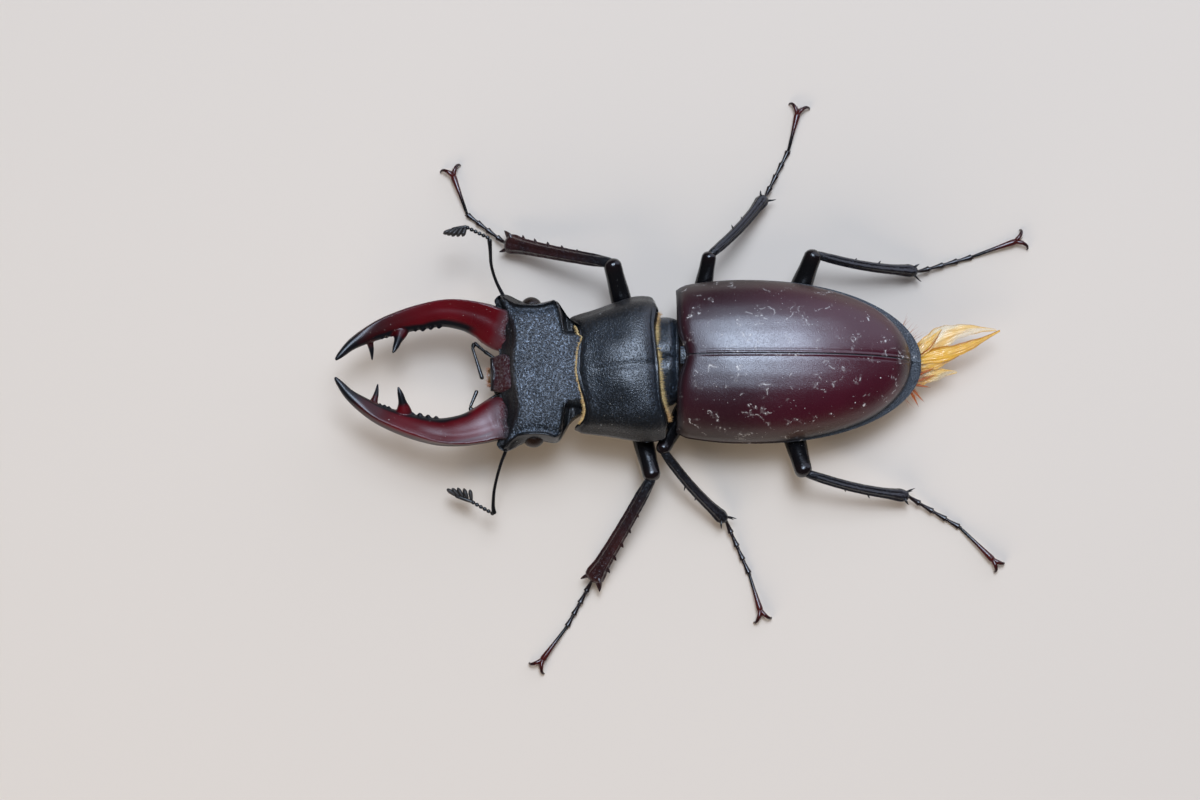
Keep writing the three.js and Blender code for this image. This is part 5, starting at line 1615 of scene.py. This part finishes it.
def claw_parts(leg, opened):
    """The last joint, both claws, and the lobe between them with its two bristles."""
    toe, root, a = leg["toe"], leg["root"], math.radians(leg["claw"])
    way, across = np.array([math.cos(a), math.sin(a), 0]), np.array([-math.sin(a), math.cos(a), 0])
    keys = []
    for t, w in LAST_JOINT:
        arch = UP * 0.35 * leg["shin"] * math.sin(np.pi * min(t, 1))
        keys.append((*(toe + (root - toe) * t + arch), w, w * 0.9))
    last = on_floor(tube(limb(keys, 70, 28, ends=(1, 0.7))))
    along = (last[0] - toe) @ (root - toe) / ((root - toe) @ (root - toe))
    parts = [(last, fade(along, 0.25, 0.8))]
    for s in (-opened, opened):
        keys = [(*(root + way * f + across * s * o + UP * h), w, w) for f, o, h, w in CLAW]
        claw = on_floor(tube(limb(keys, 44, 16, ends=(1, 1.5))))
        parts.append((claw, 1 - 0.7 * fade(np.linalg.norm(claw[0] - root, axis=1), 0.6, 1.3)))
    tip = root + way * 0.62 - UP * 0.10
    keys = [(*root, 0.06, 0.06), (*(root + way * 0.3), 0.05, 0.05), (*tip, 0.04, 0.04)]
    parts.append((on_floor(tube(limb(keys, 14, 10))), 0.7))
    for s in (-1, 1):
        end = tip + way * 0.38 + across * s * 0.24 - UP * 0.1
        parts.append((on_floor(spike(tip - way * 0.05, end, 0.025, 5, 6)), 0.7))
    return parts


for name, leg in legs.items():
    parts = [part for k in range(FOOT_BEADS) for part in bead_parts(leg, k)]
    shapes, red = shapes_and_mark(parts + claw_parts(leg, CLAWS_OPEN.get(name, 1)))
    piece("foot_" + name, shapes, leg_finish, "leg", ["tarsus_" + name], red=red)

# %% [markdown]
# ## Wing tips
# The flying wings are folded under the wing cases like letters in an envelope, and here their
# tips stick out at the tail. Each is a thin crumpled leaf of amber skin. Two or three layers lie
# over each other, which makes the overlap darker, and brown veins run along the folds.

# %% Wing tips
LEAF = [[0, 0.72], [0.25, 1.0], [0.5, 0.8], [0.8, 0.32], [1, 0.1]]
LEAF_THICKNESS = 0.06


def leaf(root, tip, wide, lift, skew, seed):
    """A crumpled leaf. u runs from root to tip and v across it, from -1 to 1. Half width follows a
    curve, and the sheet arches by lift * (1 - v^2) * sin(pi u) with sharp folds laid over it."""
    root, way = np.array(root, float), np.array(tip, float) - np.array(root, float)
    u, v = np.linspace(0, 1, 110)[:, None], np.linspace(-1, 1, 60)[None]
    across = unit(np.array([way[1], -way[0], 0.0]))
    half = wide * curve(LEAF, u)
    chance = np.random.default_rng(seed)
    edge = 0.07 * np.sin(u * 17 + chance.uniform(0, 6))
    edge = edge + 0.04 * np.sin(u * 41 + chance.uniform(0, 6))
    centre = root + u[..., None] * way + skew * np.sin(np.pi * u)[..., None] * across
    points = centre + ((half * (1 + edge)) * v)[..., None] * across
    folds = 0.10 * np.abs(np.sin(v * 4.1 + u * 2.2))
    folds = folds + 0.05 * np.abs(np.sin(v * 9.0 - u * 4.0 + 1.0))
    crumple = 0.07 * ripple(points, 0.9, seed + 20)
    points[..., 2] += lift * (1 - v**2) * np.sin(np.pi * u)
    points[..., 2] += (folds + crumple) * np.minimum(1, half / 0.6)
    return shell(points, points - LEAF_THICKNESS * UP), u, v


def wing_tip(name, node, layers):
    """One wing tip of several leaves, with its veins and its pale parts marked. A vein is a place
    across the leaf, its drift towards the tip, a width and a strength."""
    shapes, vein, pale = [], [], []
    for *sizes, veins, paleness in layers:
        shape, u, v = leaf(*sizes)
        lines = 0 * u * v
        for middle, drift, width, strength in veins:
            vein_width = width / (0.4 + 0.6 * curve(LEAF, u))
            lines = np.maximum(lines, strength * bump(v, middle + drift * u, vein_width))
        shapes.append(shape)
        vein.append(np.tile(lines.ravel(), 2))
        pale.append(np.tile((paleness * (0.6 + 0.4 * np.sin(u * 9 + v * 3))).ravel(), 2))
    piece(name, shapes, amber, "membrane", [node], vein=np.clip(np.concatenate(vein), 0, 1),
          pale=np.clip(np.concatenate(pale), 0, 1))


# root, tip, half width, lift, skew and seed of each leaf, then its veins and how pale it is
wing_tip("long_wing_tip", "wing_tip_long", [
    ((-0.5, 26.8, 4.75), (-3.85, 36.2, 4.3), 0.85, 0.45, 0.5, 1,
     [(-0.9, 0.15, 0.22, 0.8), (0.8, -0.1, 0.10, 0.25)], 0.0),
    ((-1.0, 26.7, 4.5), (-3.95, 35.8, 4.1), 1.25, 0.35, -1.15, 2,
     [(-0.93, 0.0, 0.06, 0.55), (-0.3, 0.1, 0.05, 0.25), (0.3, 0.1, 0.04, 0.2)], 0.95),
    ((-1.0, 26.6, 4.95), (-3.9, 29.6, 4.75), 0.75, 0.25, 0.15, 3, [(0.6, 0.2, 0.16, 0.95)], 0.35),
])
wing_tip("short_wing_tip", "wing_tip_short", [
    ((0.1, 26.7, 4.3), (-1.1, 31.6, 4.0), 0.85, 0.3, 0.2, 4, [(0.8, -0.2, 0.10, 0.4)], 0.35),
    ((1.3, 26.4, 3.9), (0.7, 31.4, 3.4), 1.05, 0.3, -0.1, 5, [(-0.6, 0.1, 0.08, 0.3)], 1.0),
])

# %% [markdown]
# ## Bristles
# Golden bristles grow where two plates meet: behind the head, along the hind edge of the
# pronotum, on the lower lip, under the feet, at the tail and on the underside. Each is a thin
# three-sided cone bent along its length. Each has its own small patch in a UV map, placed at its
# root's spot on a flat layout of the body, so that its colour can be kept as a picture later.

# %% Bristles
RINGS, CORNERS = 4, 3
POINTS_EACH = RINGS * CORNERS + 1


def bristles(roots, ways, lengths, radius, droop, curl, seed):
    """Points and faces of many bristles. At t along a bristle: root + way * length * t, bent down
    by droop * t^2 and sideways by curl * t^2, with a radius that falls as (1 - t)^0.8."""
    roots, ways = np.asarray(roots, float), units(np.asarray(ways, float))
    chance = np.random.default_rng(seed)
    count, t, long = len(roots), np.linspace(0, 1, RINGS + 1)[:-1], lengths[:, None]
    bend = -UP * droop * long + chance.normal(size=(count, 3)) * curl * long
    line = roots[:, None] + ways[:, None] * (long * t)[..., None] + bend[:, None] * t[:, None] ** 2
    side = units(np.cross(ways, chance.normal(size=(count, 3))))
    lift = np.cross(ways, side)
    angle = ring_angles(CORNERS)[..., None]
    ring = side[:, None] * np.cos(angle) + lift[:, None] * np.sin(angle)
    thick = np.broadcast_to(radius, (count,))[:, None] * (1 - t) ** 0.8
    body = line[:, :, None] + ring[:, None] * thick[..., None, None]
    tips = (roots + ways * long + bend)[:, None]
    points = np.concatenate([body.reshape(count, -1, 3), tips], 1)
    first, j = (RINGS - 1) * CORNERS, np.arange(CORNERS)
    tris = np.stack([first + j, first + (j + 1) % CORNERS, np.full(CORNERS, POINTS_EACH - 1)], 1)
    start = (np.arange(count) * POINTS_EACH)[:, None, None]
    quads = weave(RINGS, CORNERS, True)[None] + start
    return points.reshape(-1, 3), quads.reshape(-1, 4), (tris[None] + start).reshape(-1, 3)


PATCH, LAYOUT_SIZE, LOWER_SIDE = 0.003, np.array([68.0, 88.0]), 5.0


def patches(points):
    """A UV place for each point of a piece of bristles. A patch is 0.003 across and sits at the
    root's place on a flat layout: X and Y of the root over the body's size, the upper side in the
    left half of the picture and the lower side in the right."""
    root = np.repeat(points.reshape(-1, POINTS_EACH, 3)[:, 0], POINTS_EACH, axis=0)
    count, t = len(root) // POINTS_EACH, np.linspace(0, 1, RINGS + 1)[:-1]
    up = np.tile(np.append(np.repeat(t, CORNERS), 1), count)
    around = np.tile(np.append(np.tile(np.arange(CORNERS) / CORNERS, RINGS), 0.5), count)
    place = np.clip((root[:, :2] + LAYOUT_SIZE / 2) / LAYOUT_SIZE, 0.01, 0.99) * [0.48, 1]
    place[:, 0] += 0.5 * (root[:, 2] < LOWER_SIDE)
    return place + np.stack([around - 0.5, up - 0.5], 1) * PATCH


def hair_piece(name, parts):
    """A piece of bristles from (shape, rust) pairs, with its UV patches."""
    shapes, rust = shapes_and_mark(parts)
    mesh = new_mesh(name, shapes)
    corner = np.empty(len(mesh.loops), np.int32)
    mesh.loops.foreach_get("vertex_index", corner)
    flat = patches(points_of(mesh))[corner].astype(np.float32)
    mesh.uv_layers.new(name="OFBake").data.foreach_set("uv", flat.ravel())
    return piece(name, mesh, bristle, "hair", crease=180, rust=rust)


# %% [markdown]
# ### Fringes between the plates
# The fringes follow lines measured on the plates: one looks out from under the front edge of the
# pronotum onto the head, the other from under its hind edge onto the waist. Bristles of a fringe
# lie side by side, nearly parallel, with a little disorder.

# %% Fringes
def along_line(line, shares):
    """Places at shares along a bent line of measured points."""
    gaps = np.concatenate([[0], np.cumsum(np.linalg.norm(np.diff(line, axis=0), axis=1))])
    return curve(np.column_stack([gaps / gaps[-1], line]), shares)


def fringe(line, count, way, length, depth, seed):
    """Bristles with roots scattered along a bent line: each points along the way plus a random
    lean, and its length varies by a fifth."""
    chance = np.random.default_rng(seed)
    share = np.sort(chance.uniform(0, 1, count))
    scatter = chance.normal(size=(count, 3)) * depth * np.array([0.4, 0.6, 0.5])
    ways = np.array(way, float) + chance.normal(size=(count, 3)) * 0.18
    lengths = length * chance.uniform(0.75, 1.2, count)
    radius = 0.020 * chance.uniform(0.7, 1.2, count)
    roots = along_line(line, share) + scatter
    return bristles(roots, ways, lengths, radius, 0.25, 0.15, seed + 50), share


LINE_POINTS = 60


def edge_line(s, first, last, inwards):
    """Places just inside the pronotum's front (s = 0) or hind (s = 1) edge, between two angles."""
    ring = pronotum_point(s, np.radians(np.linspace(first, last, LINE_POINTS)))
    return framed(ring + np.array([0, inwards, -0.12]), PRONOTUM)


def meeting_line(first, last):
    """Where the pronotum comes out of the head: going back from its front edge, the first place on
    each line that is higher than the head's roof, or the edge itself beside the head."""
    s = np.linspace(0, 0.25, 80)[:, None]
    angle = np.radians(np.linspace(first, last, LINE_POINTS))[None]
    points = framed(pronotum_point(s, angle), PRONOTUM)
    c, a = math.cos(math.radians(HEAD["turn"])), math.sin(math.radians(HEAD["turn"]))
    dx, dy = points[..., 0] - HEAD["x"], points[..., 1] - HEAD["y"]
    x, y = c * dx + a * dy, c * dy - a * dx
    share = y / HEAD["length"]
    roof = HEAD["side"] + (curve(HEAD_TOP, share) - HEAD["side"]) * plateau(x, y)
    over = np.where(np.abs(x) < curve(HEAD_HALF, share) - 0.3, roof + head_relief(x, y), 0)
    row = (points[..., 2] > over).argmax(0)
    return points[row, np.arange(LINE_POINTS)] + np.array([0, -0.05, 0.02])


def per_bristle(values):
    """One value for each bristle, repeated for all its points."""
    return np.repeat(values, POINTS_EACH)


front_hair, share = fringe(meeting_line(150, 24), 1300, (0, -1, 0.30), 0.36, 0.04, 3)
front_rust = per_bristle(0.05 + 0.10 * np.sin(share * 50) ** 2)
hind_hair, share = fringe(edge_line(1.0, 138, 34, -0.12), 1500, (-0.08, 1, 0.04), 0.62, 0.07, 5)
hind_rust = per_bristle(0.35 * (1 - fade(share, 0.0, 0.22) * (1 - fade(share, 0.80, 1.0))))
hair_piece("neck_fringes", [(front_hair, front_rust), (hind_hair, hind_rust)])

# %% [markdown]
# ### Lip brush and tail
# The brush on the lower lip is bright orange and stiff. A few long rust-red bristles stand round
# the tail, and five of them are stout.

# %% Lip brush and tail bristles
chance, count = np.random.default_rng(12), 260
spots = np.column_stack([chance.uniform(low, high, count)
                         for low, high in ((-0.9, 1.2), (-1.5, -0.8), (5.3, 5.6))])
lean = [chance.normal(size=count) * wild for wild in (0.2, 0.15, 0.2)]
ways = np.column_stack([0.25 * spots[:, 0] + lean[0], -1 + lean[1], 0.35 + lean[2]])
lengths = chance.uniform(0.25, 0.5, count)
brush = bristles(framed(spots, HEAD), ways, lengths, 0.020, 0.05, 0.12, 13)
TAIL = np.array([  # root, then way
    [(2.0, 27.0, 4.5), (-0.4, 1.55, 0.1)], [(2.9, 26.2, 4.6), (1.2, 0.9, 0.1)],
    [(3.2, 26.1, 4.9), (1.1, 0.6, 0.3)], [(0.6, 27.2, 4.6), (0.1, 1.2, -0.1)],
    [(-2.0, 26.8, 4.9), (-0.5, 1.2, 0.2)], [(-2.7, 26.4, 4.8), (-0.9, 1.1, 0.2)],
    [(-3.4, 25.9, 4.6), (-1.1, 0.9, 0.1)], [(1.4, 27.1, 4.3), (0.2, 1.3, -0.2)],
    [(3.9, 25.6, 4.4), (1.3, 0.8, 0.0)], [(-4.3, 25.3, 4.4), (-1.1, 0.7, 0.0)],
])
TUFT = 5
count = TUFT * len(TAIL)
roots, ways = (np.repeat(TAIL[:, k], TUFT, axis=0) + chance.normal(size=(count, 3)) * 0.16
               for k in (0, 1))
lengths = np.linalg.norm(ways, axis=1) * chance.uniform(0.5, 1.1, count)
rear = bristles(roots, ways, lengths, 0.024, 0.05, 0.1, 14)
STOUT = np.array([  # root, then way
    [(1.85, 26.9, 4.4), (-0.3, 1.0, 0.0)], [(2.3, 26.7, 4.4), (0.2, 1.0, 0.0)],
    [(2.9, 26.4, 4.3), (0.9, 0.75, 0.0)], [(3.2, 26.2, 4.2), (1.0, 0.55, -0.1)],
    [(1.2, 27.0, 4.4), (-0.45, 1.0, 0.1)],
])
lengths = np.array([2.4, 1.7, 1.9, 1.7, 2.0])
stout = bristles(STOUT[:, 0], STOUT[:, 1], lengths, 0.19, 0.05, 0.03, 15)
hair_piece("lip_and_tail_bristles", [(brush, 0.8), (rear, 0.95), (stout, 0.95)])

# %% [markdown]
# ### Underside and legs
# The breast is covered with short golden hair that points backwards. The thighs carry a few rows
# of fine hairs and the feet have golden brushes under each joint.

# %% Underside and leg hair
def on_belly(count, seed):
    """Random places on the underside of the chest."""
    chance = np.random.default_rng(seed)
    x, y = chance.normal(size=count) * 2.4, chance.uniform(0.8, 10.8, count)
    keep = np.abs(x) < 6.5
    x, y = x[keep], y[keep]
    t = (y + 0.7) / CASE_LENGTH
    share = np.abs(x) / (case_half(t) - TRUNK["inset"])
    round_off = np.clip(1 - share ** (2 / SQUARE), 0, 1) ** (SQUARE / 2)
    z = case_edge(t) - TRUNK["below"] - TRUNK["depth"] * curve(TRUNK_DEPTH, t) * round_off
    return np.column_stack([x, y, z + 0.02])


def foot_brush(leg, chance, seed):
    """Golden hairs under the end of each of a foot's four beads, twelve to a bead."""
    start, toe, count = leg["ankle"], leg["toe"], 12 * FOOT_BEADS
    joints = np.repeat((np.arange(FOOT_BEADS) + 0.8) / FOOT_BEADS, 12)
    spots = start + np.outer(joints, toe - start)
    spots[:, 2] = start[2] + (toe[2] - start[2]) * joints**FOOT_SAG - 0.12
    way = unit((toe - start) * [1, 1, 0])
    ways = way + chance.normal(size=(count, 3)) * 0.25 - UP * 0.25
    roots = spots + chance.normal(size=(count, 3)) * 0.05
    return bristles(roots, ways, chance.uniform(0.2, 0.34, count), 0.014, -0.1, 0.1, seed)


def thigh_hair(leg, chance, seed):
    """Fine hairs along the underside of a thigh."""
    hip, along, count = leg["hip"], leg["knee"] - leg["hip"], 90
    place, angle = chance.uniform(0.2, 0.85, count), chance.normal(size=count) * 0.35 - np.pi / 2
    across = unit(np.cross(unit(along), UP))
    radial = np.outer(np.cos(angle), across) + np.outer(np.sin(angle), UP)
    spots = hip + np.outer(place, along) + radial * leg["thigh"] * 0.84 * [1, 1, 0.86]
    ways = radial * 0.5 + unit(along) + chance.normal(size=(count, 3)) * 0.15
    return bristles(spots, ways, chance.uniform(0.25, 0.5, count), 0.013, 0.0, 0.15, seed)


roots, chance = on_belly(3600, 21), np.random.default_rng(22)
lean = [chance.normal(size=len(roots)) * wild for wild in (0.12, 0.08)]
ways = np.column_stack([0.15 * np.sign(roots[:, 0]) + lean[0], np.ones(len(roots)),
                        -0.45 + lean[1]])
breast = bristles(roots, ways, chance.uniform(0.5, 0.95, len(roots)), 0.017, -0.12, 0.1, 23)
parts = [(breast, 0.15)]
for number, leg in enumerate(legs.values()):
    chance = np.random.default_rng(40 + number)
    parts.append((foot_brush(leg, chance, 60 + number), 0.5))
    parts.append((thigh_hair(leg, chance, 80 + number), 0.45))
hair_piece("underside_hair", [(on_floor(shape), rust) for shape, rust in parts])

# %% [markdown]
# ## Triangles
# The last step adds up the triangles.

# %% Measure and finish
print(len(made), "pieces,", sum(made.values()), "triangles")
